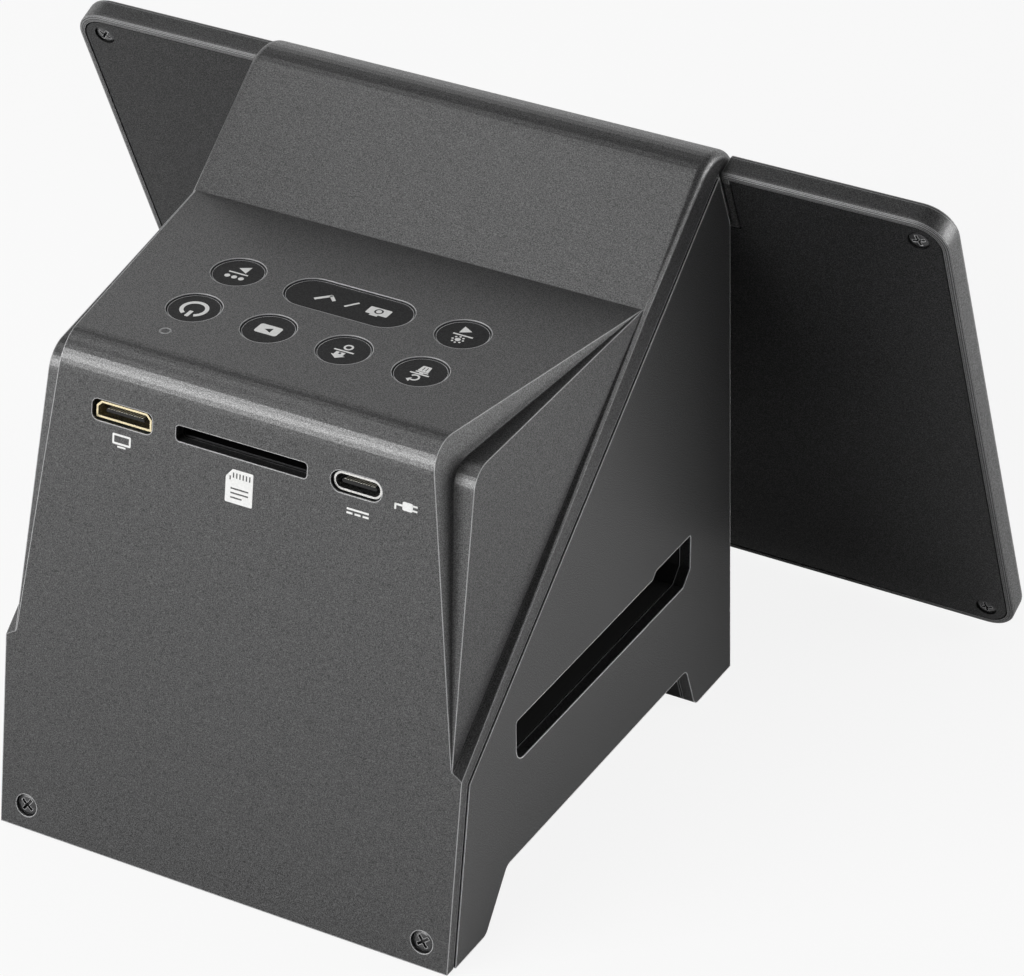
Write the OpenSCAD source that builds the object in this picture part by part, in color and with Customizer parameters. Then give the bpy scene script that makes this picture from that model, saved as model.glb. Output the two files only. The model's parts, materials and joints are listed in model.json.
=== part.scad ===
// Desktop film scanner: a wedge-shaped body with a film slot through it,
// a button deck on top, ports at the back and a tilting screen at the front.
// Axes: X across, -Y towards the screen side, +Z up; the table is z = 0.

/* [Body] */
// Width across the side walls
body_w = 90; // [86:1:100]
// Depth of the body at the table
body_d = 103; // [98:1:112]
// Height of the button deck above the table
deck_h = 92; // [90:0.1:93]
// Length of the deck, front fold to rear corner
deck_d = 53.8; // [50:0.2:58]
// Width of the deck at its rear corner
deck_rear_w = 70; // [66:1:76]
// Lean of the rear face from the vertical
rear_lean = 9.3; // [6:0.1:11]
// Lean of the front wall from the vertical
front_lean = 2.6; // [1:0.1:3.5]
// Slope of the ramp below the horizontal
ramp_angle = 39.4; // [37:0.2:41]
// Slope of the shelves that carry the ramp on beside the cheeks
shelf_angle = 41.2; // [40:0.1:42]
// Wall of the side shell, the cover and the base
wall = 2.2; // [1.8:0.1:2.8]
// Radius where the deck rolls over into the rear face
deck_r = 6; // [3:0.5:8]

/* [Stepped cheeks] */
// Width across the cheeks at the foot of the ramp
cheek_foot_w = 85.6; // [84:0.2:88]
// Width across the cheeks at the deck's front fold
cheek_front_w = 88; // [87:0.1:88.6]
// Fall of the shelf from the cheek to the side at the ramp's foot
shelf_fall = 0.7; // [0.2:0.1:1]
// Drop from the deck to the ledge beside it
ledge_drop = 5.4; // [3:0.2:7]
// Setback of the ledge from the rear face
ledge_back = 4.8; // [3:0.2:6]
// Width across the ledges at their rear corner
ledge_rear_w = 81; // [79:0.5:84]
// Radius of the ledge's own rear corner
ledge_r = 5; // [3:0.5:7]

/* [Hood] */
// Radius of the rounded hood at the top of the ramp
hood_r = 8.5; // [8:0.1:9.5]
// Distance of the hood's centre behind the front wall's foot
hood_back = 9.6; // [9.4:0.05:10]
// Wall of the hood
hood_wall = 1.4; // [1.2:0.1:1.6]
// Rounding of the hood's ends and of the ramp's side edges
hood_edge_r = 1.6; // [0.8:0.2:2]

/* [Parting line] */
// Height of the cover's side below the ramp
cover_side_h = 5.8; // [4.5:0.1:7]
// Depth of the cover's return round the rear corners
cover_rear_d = 2.2; // [2.2:0.1:3]
// Amount the cover's sides stand in from the side walls
cover_in = 0.3; // [0.2:0.1:0.6]
// Gap at the parting line
part_gap = 0.3; // [0.2:0.05:0.5]

/* [Base] */
// Height of the arch between the two foot bars
arch_h = 10.1; // [8:0.5:12]
// Depth of the front foot bar at the table
front_foot_d = 14.2; // [12:0.2:16]
// Depth of the slope from the front foot bar up to the arch
front_slope_d = 3.6; // [2:0.2:6]
// Depth of the rear foot bar at the table
rear_foot_d = 12.6; // [11:0.2:14]
// Depth of the slope from the rear foot bar up to the arch
rear_slope_d = 7.4; // [5:0.2:9]
// Rounding at both ends of the slopes
arch_r = 2; // [1:0.25:3]
// Radius of the rubber pads
pad_r = 3.2; // [2.5:0.1:3.4]
// Amount the rubber pads stand below the foot bars
pad_proud = 0.4; // [0.3:0.1:0.8]
// Thickness of the rubber pads
pad_t = 1; // [0.8:0.1:1.4]
// Sideways distance of the pads and base screws from the middle
pad_x = 33; // [28:0.5:35]

/* [Film slot] */
// Length of the slot
slot_l = 62.6; // [58:0.2:64]
// Height of the slot
slot_h = 8.4; // [7:0.1:9.5]
// Height of the slot's lower edge above the table
slot_z = 28.8; // [26:0.2:32]
// Distance of the slot's rear end from the foot of the rear face
slot_back = 23.4; // [22:0.2:26]
// Raise of the slot's keyed front part
slot_key_h = 1.2; // [0.6:0.1:1.6]
// Length of the slot's keyed front part
slot_key_l = 13.2; // [10:0.2:18]
// Corner radius at the slot's lower rear corner
slot_r = 2.6; // [1:0.2:3.4]
// Chamfer at the slot's lower front corner
slot_chamfer = 2.6; // [1:0.2:3.4]
// Wall of the film track
track_wall = 1.6; // [1.2:0.1:2]
// Length of the picture window in the film track
window_l = 37; // [36:0.5:40]
// Width of the picture window in the film track
window_w = 25; // [24:0.5:28]

/* [Buttons] */
// Radius of a round button's cap
button_r = 4.5; // [4:0.1:5]
// Gap round a button's cap
button_gap = 0.25; // [0.15:0.05:0.4]
// Depth of the caps' tops below the deck
button_sink = 0.3; // [0.1:0.05:0.5]
// Spacing of the buttons in the rear row
button_pitch = 14.5; // [13:0.1:15]
// Distance of the front row from the rear corner of the deck
button_row_1 = 32.7; // [31:0.1:34]
// Distance of the rear row from the rear corner of the deck
button_row_2 = 19; // [17:0.1:20]
// Length of the long button
pill_l = 23.6; // [20:0.2:26]
// Travel of a button
button_travel = 0.5; // [0.3:0.05:0.6]
// Distance of the lamp from the rear corner of the deck
lamp_back = 10.2; // [9:0.1:12]
// Radius of the lamp
lamp_r = 0.8; // [0.6:0.1:1.2]

/* [Ports] */
// Height of the row of ports, measured up the rear face
port_row = 82.6; // [79:0.2:84]
// Sideways place of the video socket
video_x = 23; // [20:0.5:26]
// Sideways place of the power socket
power_x = -21.7; // [-25:0.1:-19]
// Width of the memory card slot
card_w = 25; // [24.6:0.1:26]
// Height of the memory card slot
card_h = 2.8; // [2.4:0.1:3.2]
// Corner radius of the memory card slot
card_r = 0.7; // [0.3:0.1:1]

/* [Screen] */
// Width of the screen housing
screen_w = 172.8; // [165:0.2:180]
// Thickness of the screen housing
screen_t = 4.8; // [4.8:0.1:6]
// Lean of the screen from the vertical at rest
screen_lean = 22.5; // [21:0.5:24]
// Distance of the hinge axis in front of the hood's centre
screen_ahead = 4.7; // [4.5:0.05:4.8]
// Height of the hinge axis above the hood's centre
screen_above = 1.6; // [1.4:0.05:2]
// Clearance of the screen's foot above the table
foot_clear = 0.7; // [0.5:0.1:1.2]
// Corner radius of the screen housing
screen_corner = 6; // [4:0.5:9]
// Rounding of the housing's front and rear edges
screen_edge = 0.8; // [0.4:0.1:1.2]
// Depth of the hinge axis inside the screen housing
pivot_depth = 2.2; // [2.1:0.05:2.5]
// Distance of the hinge axis below the top of the housing
pivot_drop = 4.1; // [3.8:0.1:4.6]
// Width of the rim seen round the rear cover
rim_w = 1.2; // [1:0.1:2]
// Groove between the rim and the rear cover
rim_groove = 0.3; // [0.2:0.05:0.5]
// Thickness of the rear cover plate
back_t = 1; // [0.8:0.1:1.2]
// Distance of the screws from the side edges
screw_in_x = 5.6; // [5:0.1:8]
// Distance of the screws from the top and bottom edges
screw_in_h = 4.8; // [4.6:0.1:7]
// Distance of the picture from the display module's side edges
view_in_x = 4; // [3:0.5:8]
// Distance of the picture from the display module's top and bottom edges
view_in_h = 2; // [2:0.2:5]
// Distance of the display module from the housing's side edges
lcd_in_x = 4.9; // [4:0.1:8]
// Thickness of the display module
lcd_t = 2.2; // [1.8:0.1:2.2]
// Distance of the display module from the bottom edge
lcd_up = 8.2; // [8:0.1:8.4]

/* [Hinge] */
// Radius of the hinge shafts
shaft_r = 1.1; // [0.9:0.05:1.1]
// Running clearance of the shafts in their sleeves
shaft_fit = 0.05; // [0.02:0.01:0.08]
// Outer radius of the hinge sleeves
sleeve_r = 1.95; // [1.7:0.05:2]
// Length of the hinge sleeves
sleeve_l = 12; // [8:0.5:16]
// Gap between the hood's ends and the screen
hood_gap = 0.4; // [0.3:0.1:1]

/* [Hidden] */
$fn = 64;

seat = 0.3;            // clearance of pieces that lie on or beside one another
cut = 1;               // overrun of a cut past the face it opens
arc_steps = 10;        // straight steps in a rounded corner of an outline

// ---- outline helpers ----
function unit(v) = v / norm(v);
function turn(d) = d > 180 ? d - 360 : d < -180 ? d + 360 : d;
function arc(c, r, a0, a1, n = arc_steps) =
    [for (i = [0:n]) c + r * [cos(a0 + (a1 - a0) * i / n), sin(a0 + (a1 - a0) * i / n)]];
function corner(p0, p1, p2, r) =
    let (a = unit(p0 - p1), b = unit(p2 - p1), half = acos(a * b) / 2,
         c = p1 + unit(a + b) * r / sin(half),
         s = p1 + a * r / tan(half) - c, e = p1 + b * r / tan(half) - c,
         a0 = atan2(s.y, s.x))
    arc(c, r, a0, a0 + turn(atan2(e.y, e.x) - a0));
// Rounds the corners of an outline given as [y, z, radius] rows
function rounded(p) = let (n = len(p)) [for (i = [0:n - 1])
    let (q = [p[i].x, p[i].y], a = p[(i + n - 1) % n], b = p[(i + 1) % n])
    each (p[i].z > 0 ? corner([a.x, a.y], q, [b.x, b.y], p[i].z) : [q])];
// Moves every side of an anticlockwise outline inwards by d
function inset(p, d) = let (n = len(p)) [for (i = [0:n - 1])
    let (a = unit(p[i] - p[(i + n - 1) % n]), b = unit(p[(i + 1) % n] - p[i]),
         na = [-a.y, a.x], nb = [-b.y, b.x])
    p[i] + d * (na + nb) / (1 + na * nb)];
function flat(p) = [for (q = p) [q.x, q.y]];

// Extrudes an outline drawn in Y and Z along X, centred
module along_x(w, outline) {
    rotate([90, 0, 90]) linear_extrude(w, center = true) polygon(outline);
}
module both_sides() {
    children();
    mirror([1, 0, 0]) children();
}
// Cylinder along X, from x0 to x1
module rod_x(x0, x1, r) {
    translate([x0, 0, 0]) rotate([0, 90, 0]) cylinder(x1 - x0, r, r);
}

// ---- main points, as [y, z] with y = 0 at the middle of the body's depth ----
front_y = -body_d / 2;
rear_y = body_d / 2;
floor_z = pad_proud;
ramp_n = [sin(ramp_angle), cos(ramp_angle)];     // square to the ramp
function rear_at(z) = rear_y - z * tan(rear_lean);
function front_at(z) = front_y + z * tan(front_lean);
deck_rear = [rear_at(deck_h), deck_h];
deck_front = [deck_rear.x - deck_d, deck_h];
ramp_m = tan(ramp_angle);
rear_m = tan(rear_lean);
shelf_m = tan(shelf_angle);
shelf_n = [sin(shelf_angle), cos(shelf_angle)];  // square to the shelf
shelf_t = [-cos(shelf_angle), sin(shelf_angle)]; // up the shelf
ramp_foot_z = (deck_h - shelf_m * (rear_y - deck_front.x)) / (1 - shelf_m * rear_m);
ramp_foot = [rear_at(ramp_foot_z), ramp_foot_z];
ledge_z = deck_h - ledge_drop;
ledge = [rear_at(ledge_z) - ledge_back, ledge_z];
hood_y = front_y + hood_back;
hood_z = deck_h + ramp_m * (deck_front.x - hood_y) - hood_r / cos(ramp_angle);
hood = [hood_y, hood_z];
cover_w = body_w - 2 * cover_in;

// ---- screen frame: origin at the hinge axis, u up the screen, n out of its back ----
screen_u = [sin(screen_lean), cos(screen_lean)];
screen_n = [cos(screen_lean), -sin(screen_lean)];
pivot = hood + [-screen_ahead, screen_above];
// the screen reaches down until its foot just clears the table
screen_foot = (pivot.y - foot_clear - pivot_depth * sin(screen_lean)) / cos(screen_lean);
screen_h = screen_foot + pivot_drop;
function on_screen(n, u) = pivot + n * screen_n + u * screen_u;
screen_back = pivot_depth;                       // n of the rear face
screen_front = pivot_depth - screen_t;           // n of the front face

// The whole part is centred over the table, from the screen's lowest front edge to the rear face
edge_steps = 3;                                  // steps in the rounding of the housing's edge
overall_front = min([for (i = [1:edge_steps]) let (a = 90 * i / edge_steps)
    on_screen(screen_front + screen_edge * (1 - sin(a)),
        -screen_foot + screen_edge * (1 - cos(a))).x]);
y_shift = -(rear_at(floor_z) + overall_front) / 2;
module in_place() {
    translate([0, y_shift, 0]) children();
}
// Draws in the screen's frame: X across, Y out of its back, Z up the screen
module on_the_screen() {
    in_place() translate([0, pivot.x, pivot.y]) rotate([-screen_lean, 0, 0]) children();
}

// ---- body outlines ----
part_top = ramp_n * deck_front - cover_side_h;   // parting line, measured square to the ramp
function rear_line(d, z) = rear_at(z) - d / cos(rear_lean);
// where a line square to n at distance a meets the line b inside the rear face
function rear_corner(n, a, b) = let (z = (a - n.x * (rear_y - b / cos(rear_lean)))
    / (n.y - n.x * rear_m)) [rear_line(b, z), z];
far = body_d * 2;

arch_front_y = front_y + front_foot_d + front_slope_d;
arch_rear_y = rear_y - rear_foot_d - rear_slope_d;
// Path under the feet and the arch, from y0 to y1, as [y, z, radius] rows
function foot_path(y0, y1) = [
    [y0, floor_z, 0],
    [front_y + front_foot_d, floor_z, arch_r],
    [arch_front_y, arch_h, arch_r],
    [arch_rear_y, arch_h, arch_r],
    [rear_y - rear_foot_d, floor_z, arch_r],
    [y1, floor_z, 0]];
// Moves such a path up by d: its upward bends tighten and its downward bends widen
function raised(p, d) = let (n = len(p) - 1, q = flat(p)) [for (i = [0:n])
    let (a = unit(q[max(i, 1)] - q[max(i, 1) - 1]),
         b = unit(q[min(i, n - 1) + 1] - q[min(i, n - 1)]),
         s = q[i] + d * [-a.y - b.y, a.x + b.x] / (1 + a * b))
    [s.x, s.y, p[i].z == 0 ? 0 : a.y < b.y ? max(p[i].z - d, 0.2) : p[i].z + d]];

// Side view of the side shell
shell_gap_d = seat + 0.2;                        // clearance of the shell behind the screen
function screen_line(n, z) =
    pivot.x + (n + (z - pivot.y) * sin(screen_lean)) / cos(screen_lean);
shell_top_z = let (p = on_screen(screen_back + shell_gap_d, 0))
    (part_top - part_gap / 2 - ramp_n.x * (p.x - p.y * tan(screen_lean)))
    / (ramp_n.x * tan(screen_lean) + ramp_n.y);
shell_top = [screen_line(screen_back + shell_gap_d, shell_top_z), shell_top_z];
shell_knee_z = (screen_line(screen_back + shell_gap_d, 0) - front_y)
    / (tan(front_lean) - tan(screen_lean));
shell_knee = [front_at(shell_knee_z), shell_knee_z];
shell_corner = rear_corner(ramp_n, part_top - part_gap / 2, cover_rear_d + part_gap / 2);
shell_rear_y = rear_line(cover_rear_d + part_gap / 2, floor_z);
shell_side = concat(
    flat(rounded(concat(foot_path(front_at(floor_z), shell_rear_y),
        [[shell_corner.x, shell_corner.y, 1],
         [shell_top.x, shell_top.y, 0],
         [shell_knee.x, shell_knee.y, 0]]))));

// Hollow of the body below the ramp, open at the bottom
hollow_core = inset([[front_at(-far / 8), -far / 8], [rear_at(-far / 8), -far / 8],
    ramp_foot, deck_front, hood + hood_r * ramp_n, [shell_knee.x, shell_knee.y + 4],
    shell_knee], wall);

// Film slot, seen from the side
slot_rear_y = rear_y - slot_back;
slot_front_y = slot_rear_y - slot_l;
slot_top_z = slot_z + slot_h;
slot_outline = rounded([
    [slot_rear_y, slot_z, slot_r],
    [slot_rear_y, slot_top_z, 0.6],
    [slot_front_y + slot_key_l + slot_key_h, slot_top_z, 0],
    [slot_front_y + slot_key_l, slot_top_z + slot_key_h, 0],
    [slot_front_y, slot_top_z + slot_key_h, 0.6],
    [slot_front_y, slot_z + slot_chamfer, 0],
    [slot_front_y + slot_chamfer, slot_z, 0]]);
gate_y = (slot_rear_y + slot_front_y) / 2;       // optical axis

// ---- side shell ----
inner_w = body_w - 2 * wall;
bracket_x = cover_w / 2 - wall - sleeve_l / 2 - seat;   // middle of a hinge sleeve
bracket_t = 1.2;
bracket_y = hood.x - hood_wall;                        // middle of the bracket's plate
bracket_drop = 24;                               // length of a bracket below the hood's centre
bracket_foot_z = hood.y - bracket_drop;
hinge_screw_in = 2.3;                            // depth of the hinge screws in their bosses
module side_shell() {
    color([0.2, 0.2, 0.21]) in_place() difference() {
        along_x(body_w, shell_side);
        difference() {
            along_x(inner_w, concat([[front_at(-far / 8) + wall, -far / 8],
                [rear_y + far / 8, -far / 8], [rear_y + far / 8, far / 2]],
                [[hood.x, far / 2], [hollow_core[5].x, hood.y]],
                [hollow_core[6]]));
            bracket_bosses();
        }
        translate([0, hood.x, hood.y]) rod_x(-inner_w / 2, inner_w / 2, hood_r - hood_wall);
        along_x(body_w + 2 * cut, slot_outline);
        at_bracket_screws() translate([0, 0, -bracket_t / 2 - hinge_screw_in - 0.2])
            cylinder(hinge_screw_in + 1, 0.7, 0.7);
    }
}
boss_h = 8;
module bracket_bosses() {
    both_sides() translate([bracket_x - sleeve_l / 2, front_y, bracket_foot_z])
        cube([sleeve_l, bracket_y - bracket_t / 2 - seat / 3 - front_y, boss_h]);
}
module at_bracket_screws() {
    both_sides() for (dx = [-1, 1])
        translate([bracket_x + dx * sleeve_l / 4, bracket_y, bracket_foot_z + boss_h / 2])
            rotate([-90, 0, 0]) children();
}

// ---- top and rear cover ----
cheek_fan = atan((cheek_front_w - cheek_foot_w) / 2 / norm(deck_front - ramp_foot));
cheek_lap = 10;                                  // overlap of the two halves at the middle
step_in = 0.15;                                  // the deck's cheek starts inside the ledge's
shelf_flat = 0.2;                                // flat of the shelf beside the cheek
// Both halves of a cheek that leans in from half width foot at the shelf to half width w at
// the rear corner p, drawn from b below the shelf
module cheek(p, foot, w, b) {
    high = (p - ramp_foot) * shelf_n;
    along = (p - ramp_foot) * shelf_t;
    lean = (foot + along * tan(cheek_fan) - w) / high;
    both_sides() translate([0, ramp_foot.x, ramp_foot.y]) rotate([90 - shelf_angle, 0, 0])
        rotate([0, cheek_fan, 0]) translate([0, 0, -far / 4]) linear_extrude(far)
            polygon([[-cheek_lap, -b], [foot, -b], [foot, 0],
                [foot - lean * far / 4, far / 4], [-cheek_lap, far / 4]]);
}
module deck_cheek(b, d = 0) {
    cheek(deck_rear, cheek_foot_w / 2 - step_in - d, deck_rear_w / 2 - d, b);
}
module ledge_cheek(b, d = 0) {
    cheek(ledge, cheek_foot_w / 2 - d, ledge_rear_w / 2 - d, b);
}
bury = 8;                                        // depth of a cheek's foot below the ramp's
cheek_reach = 12;                                // reach of a cheek into the body at the fold
hollow_reach = 30;                               // the same for the hollow inside it
// Side view of a cheek with its rear corner p rounded to r, moved inwards by d
function cheek_side(p, r, reach, d = 0) = let (q = inset([ramp_foot, p, deck_front,
        deck_front - [0, reach], ramp_foot - [reach, bury]], d))
    rounded([for (i = [0:4]) [q[i].x, q[i].y, i == 1 ? r - d : 0]]);

// Solid under the ramp with the rounded hood along its top
edge_in = 1;                                     // thickness of the prisms under its edges
// Thin prism, w wide, whose outer edge runs through p
module edge(p, w) {
    along_x(w, [p, p - [edge_in, 0], p - [edge_in, edge_in]]);
}
module ramp_body() {
    fallen = shelf_n * deck_front - shelf_fall;
    hull() {
        translate([0, hood.x, hood.y]) rotate([0, 90, 0]) rotate_extrude($fn = 48)
            polygon(rounded([[0, -cover_w / 2, 0], [hood_r, -cover_w / 2, hood_edge_r],
                [hood_r, cover_w / 2, hood_edge_r], [0, cover_w / 2, 0]]));
        // at the fold and at the foot a narrow edge ends the flat of the shelf, and a full
        // one lies a little lower, so that the shelf falls away beside the cheek
        edge(deck_front, cheek_front_w + 2 * shelf_flat);
        edge(deck_front - shelf_fall * shelf_n, cover_w);
        edge(ramp_foot, cheek_foot_w + 2 * shelf_flat);
        edge(rear_corner(shelf_n, fallen, 0), cover_w);
        // below the table
        edge([rear_at(-cut), -cut], cover_w);
        edge([rear_at(-cut) - 4 * wall, -cut], cover_w);
    }
}
module cover_outside() {
    ramp_body();
    intersection() {
        along_x(body_w, cheek_side(ledge, ledge_r, cheek_reach));
        ledge_cheek(seat);
    }
    intersection() {
        along_x(body_w, cheek_side(deck_rear, deck_r, cheek_reach));
        deck_cheek(seat);
    }
}
hollow_w = cover_w - 2 * wall;
module cover_hollow() {
    along_x(hollow_w, hollow_core);
    translate([0, hood.x, hood.y]) rod_x(-hollow_w / 2, hollow_w / 2, hood_r - hood_wall);
    intersection() {
        along_x(body_w, cheek_side(ledge, ledge_r, hollow_reach, wall));
        ledge_cheek(2 * wall, wall);
    }
    intersection() {
        along_x(body_w, cheek_side(deck_rear, deck_r, hollow_reach, wall));
        deck_cheek(2 * wall, wall);
    }
}

// Side view of everything that belongs to the cover
cover_corner = rear_corner(ramp_n, part_top + part_gap / 2, cover_rear_d - part_gap / 2);
screen_side_n = screen_back + shell_gap_d - part_gap;
cover_region = [
    [rear_line(cover_rear_d - part_gap / 2, floor_z), floor_z],
    [rear_y + far, floor_z], [rear_y + far, far], [hood.x - far, far],
    [hood.x - far, hood.y - 2 * hood_r],
    [screen_line(screen_side_n, hood.y - 2 * hood_r), hood.y - 2 * hood_r],
    let (z = (part_top + part_gap / 2 - ramp_n.x * screen_line(screen_side_n, 0))
        / (ramp_n.x * tan(screen_lean) + ramp_n.y)) [screen_line(screen_side_n, z), z],
    cover_corner];

button_hole_r = button_r + button_gap;
row_1_y = deck_rear.x - button_row_1;
row_2_y = deck_rear.x - button_row_2;
outer_x = 1.5 * button_pitch;
// [x, y] of the round buttons, in the order of their nodes
round_places = [[outer_x, row_2_y], [outer_x - button_pitch, row_2_y],
    [outer_x - 2 * button_pitch, row_2_y], [-outer_x, row_2_y],
    [outer_x, row_1_y], [-outer_x, row_1_y]];
pill_end = pill_l / 2 - button_r;
lamp_place = [outer_x, deck_rear.x - lamp_back];

module pill(r, h) {
    for (s = [-1, 1]) translate([s * pill_end, 0, 0]) cylinder(h, r, r);
    translate([-pill_end, -r, 0]) cube([2 * pill_end, 2 * r, h]);
}
module deck_holes() {
    depth = 4 * wall;
    for (p = round_places) translate([p.x, p.y, deck_h - depth])
        cylinder(depth + cut, button_hole_r, button_hole_r);
    translate([0, row_1_y, deck_h - depth]) pill(button_hole_r, depth + cut);
    translate([lamp_place.x, lamp_place.y, deck_h - depth])
        cylinder(depth + cut, lamp_r + 0.1, lamp_r + 0.1);
}
// Mouth of a port w wide and h high, with corners of radius r, through a wall of the given depth
module square_mouth(x, w, h, r, depth) {
    translate([x, cut, port_row]) rotate([90, 0, 0]) linear_extrude(depth + cut)
        polygon(rounded([for (c = [[-1, -1], [1, -1], [1, 1], [-1, 1]]) [c.x * w / 2, c.y * h / 2, r]]));
}
// Mouth of a port: a stadium w wide and h high, through the rear wall
module port_mouth(x, w, h, depth) {
    translate([x, 0, port_row]) rotate([-90, 0, 0]) stadium(w, h, -depth, cut);
}
video_w = 11.8;
video_h = 3.8;
power_w = 9.6;
power_h = 3.8;
module port_mouths() {
    on_rear_face() {
        square_mouth(video_x, video_w, video_h, video_r, 2 * wall);
        port_mouth(power_x, power_w, power_h, 2 * wall);
        square_mouth(0, card_w, card_h, card_r, 2 * wall);
    }
}
// Draws in the rear face's frame: X across, Y out of the face, Z up the face
module on_rear_face() {
    translate([0, rear_y, 0]) rotate([rear_lean, 0, 0]) children();
}
rear_screw_x = body_w / 2 - 5.5;
rear_screw_up = 5;
rear_head_r = 2;
rear_head_t = 1.2;
rear_recess = 0.5;
rear_screw_l = 7;                                // length of the rear screws' shanks
module rear_screw_holes() {
    on_rear_face() both_sides() translate([rear_screw_x, 0, rear_screw_up])
        rotate([90, 0, 0]) {
            translate([0, 0, -cut]) cylinder(cut + rear_recess + rear_head_t + 0.05,
                rear_head_r + 0.1, rear_head_r + 0.1);
            cylinder(4 * wall, 1.3, 1.3);
        }
}
module end_cap_holes() {
    translate([0, pivot.x, pivot.y]) rod_x(-body_w, body_w, shaft_r + 0.4);
}
button_post_r = 2.4;
post_x = outer_x + button_r + 3;
post_ys = [row_1_y - button_r - 1.6, row_2_y + button_r + 1.2];
module board_posts() {
    both_sides() for (y = post_ys)
        translate([post_x, y, board_top_z]) cylinder(deck_h - wall / 2 - board_top_z,
            button_post_r, button_post_r);
}
// Rails inside the rear wall that carry the main board
rail_w = 3;
module board_rails() {
    on_rear_face() both_sides()
        translate([main_w / 2 - rail_w, -wall - main_d, main_top - board_t - 0.1 - 2])
            cube([rail_w, main_d + wall / 2, 2]);
}
module top_rear_cover() {
    color([0.23, 0.23, 0.24]) in_place() difference() {
        union() {
            difference() {
                intersection() {
                    cover_outside();
                    along_x(body_w, cover_region);
                }
                cover_hollow();
            }
            board_posts();
            board_rails();
        }
        deck_holes();
        port_mouths();
        rear_screw_holes();
        end_cap_holes();
        translate([0, 0, board_top_z]) both_sides() for (y = post_ys)
            translate([post_x, y, -cut]) cylinder(cut + board_screw_in + 0.8, 0.75, 0.75);
    }
}

// ---- base plate ----
base_w = inner_w - 2 * seat;
base_front_y = front_y + wall + seat + 0.2;
base_rear_y = rear_y - wall - 0.5 - seat;
base_under = foot_path(base_front_y, base_rear_y);
function backwards(p) = [for (i = [len(p) - 1:-1:0]) p[i]];
base_outline = concat(rounded(base_under), backwards(rounded(raised(base_under, wall))));
// each pad lies in the middle of its foot bar's flat
pad_ys = [(base_front_y + front_y + front_foot_d) / 2, (base_rear_y + rear_y - rear_foot_d) / 2];
base_screw_ys = [arch_front_y + 7, arch_rear_y - 4];
base_screw_r = 1.3;
module base_plate() {
    color([0.16, 0.16, 0.17]) in_place() difference() {
        union() {
            along_x(base_w, base_outline);
            base_posts();
            on_rear_face() both_sides() translate([rear_screw_x, -wall - 0.7, rear_screw_up])
                rotate([90, 0, 0]) cylinder(7, 2.9, 2.9);
        }
        both_sides() for (y = pad_ys) translate([pad_x, y, floor_z - cut])
            cylinder(cut + pad_t - pad_proud, pad_r + 0.1, pad_r + 0.1);
        both_sides() for (y = base_screw_ys) translate([pad_x, y, arch_h - cut]) {
            cylinder(base_screw_l + 2 * cut, base_screw_r, base_screw_r);
            cylinder(cut + 1, 2.4, 2.4);
        }
        on_rear_face() both_sides() translate([rear_screw_x, 0, rear_screw_up])
            rotate([90, 0, 0]) cylinder(wall + 9, 0.85, 0.85);
        translate([0, 0, -far / 4 + floor_z]) cube([body_w, far, far / 2], center = true);
    }
}
// Four posts that carry the light box
module base_posts() {
    both_sides() for (y = base_screw_ys)
        translate([pad_x, y, arch_h + wall / 2]) cylinder(wall, 3.4, 3.4);
}
module rubber_pads() {
    color([0.07, 0.07, 0.07]) in_place() both_sides() for (y = pad_ys)
        translate([pad_x, y, 0]) cylinder(pad_t, pad_r, pad_r);
}
base_screw_l = 11;                               // length of the base screws' shanks
module base_screws() {
    color([0.6, 0.6, 0.62]) in_place() both_sides() for (y = base_screw_ys)
        translate([pad_x, y, arch_h + 0.1]) {
            cylinder(0.85, 2.2, 2.2);
            cylinder(base_screw_l, base_screw_r - 0.1, base_screw_r - 0.1);
        }
}
module cross_screw(head_r, head_t, shank_r, length) {
    difference() {
        union() {
            cylinder(head_t, head_r, head_r);
            translate([0, 0, -length]) cylinder(length, shank_r, shank_r);
        }
        for (a = [0, 90]) rotate([0, 0, a])
            translate([-head_r * 0.6, -head_r * 0.14, head_t * 0.35])
                cube([head_r * 1.2, head_r * 0.28, head_t]);
    }
}
module rear_screws() {
    color([0.25, 0.25, 0.26]) in_place() on_rear_face() both_sides()
        translate([rear_screw_x, -rear_recess - rear_head_t, rear_screw_up])
            rotate([-90, 0, 0]) cross_screw(rear_head_r, rear_head_t, 0.8, rear_screw_l);
}

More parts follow.
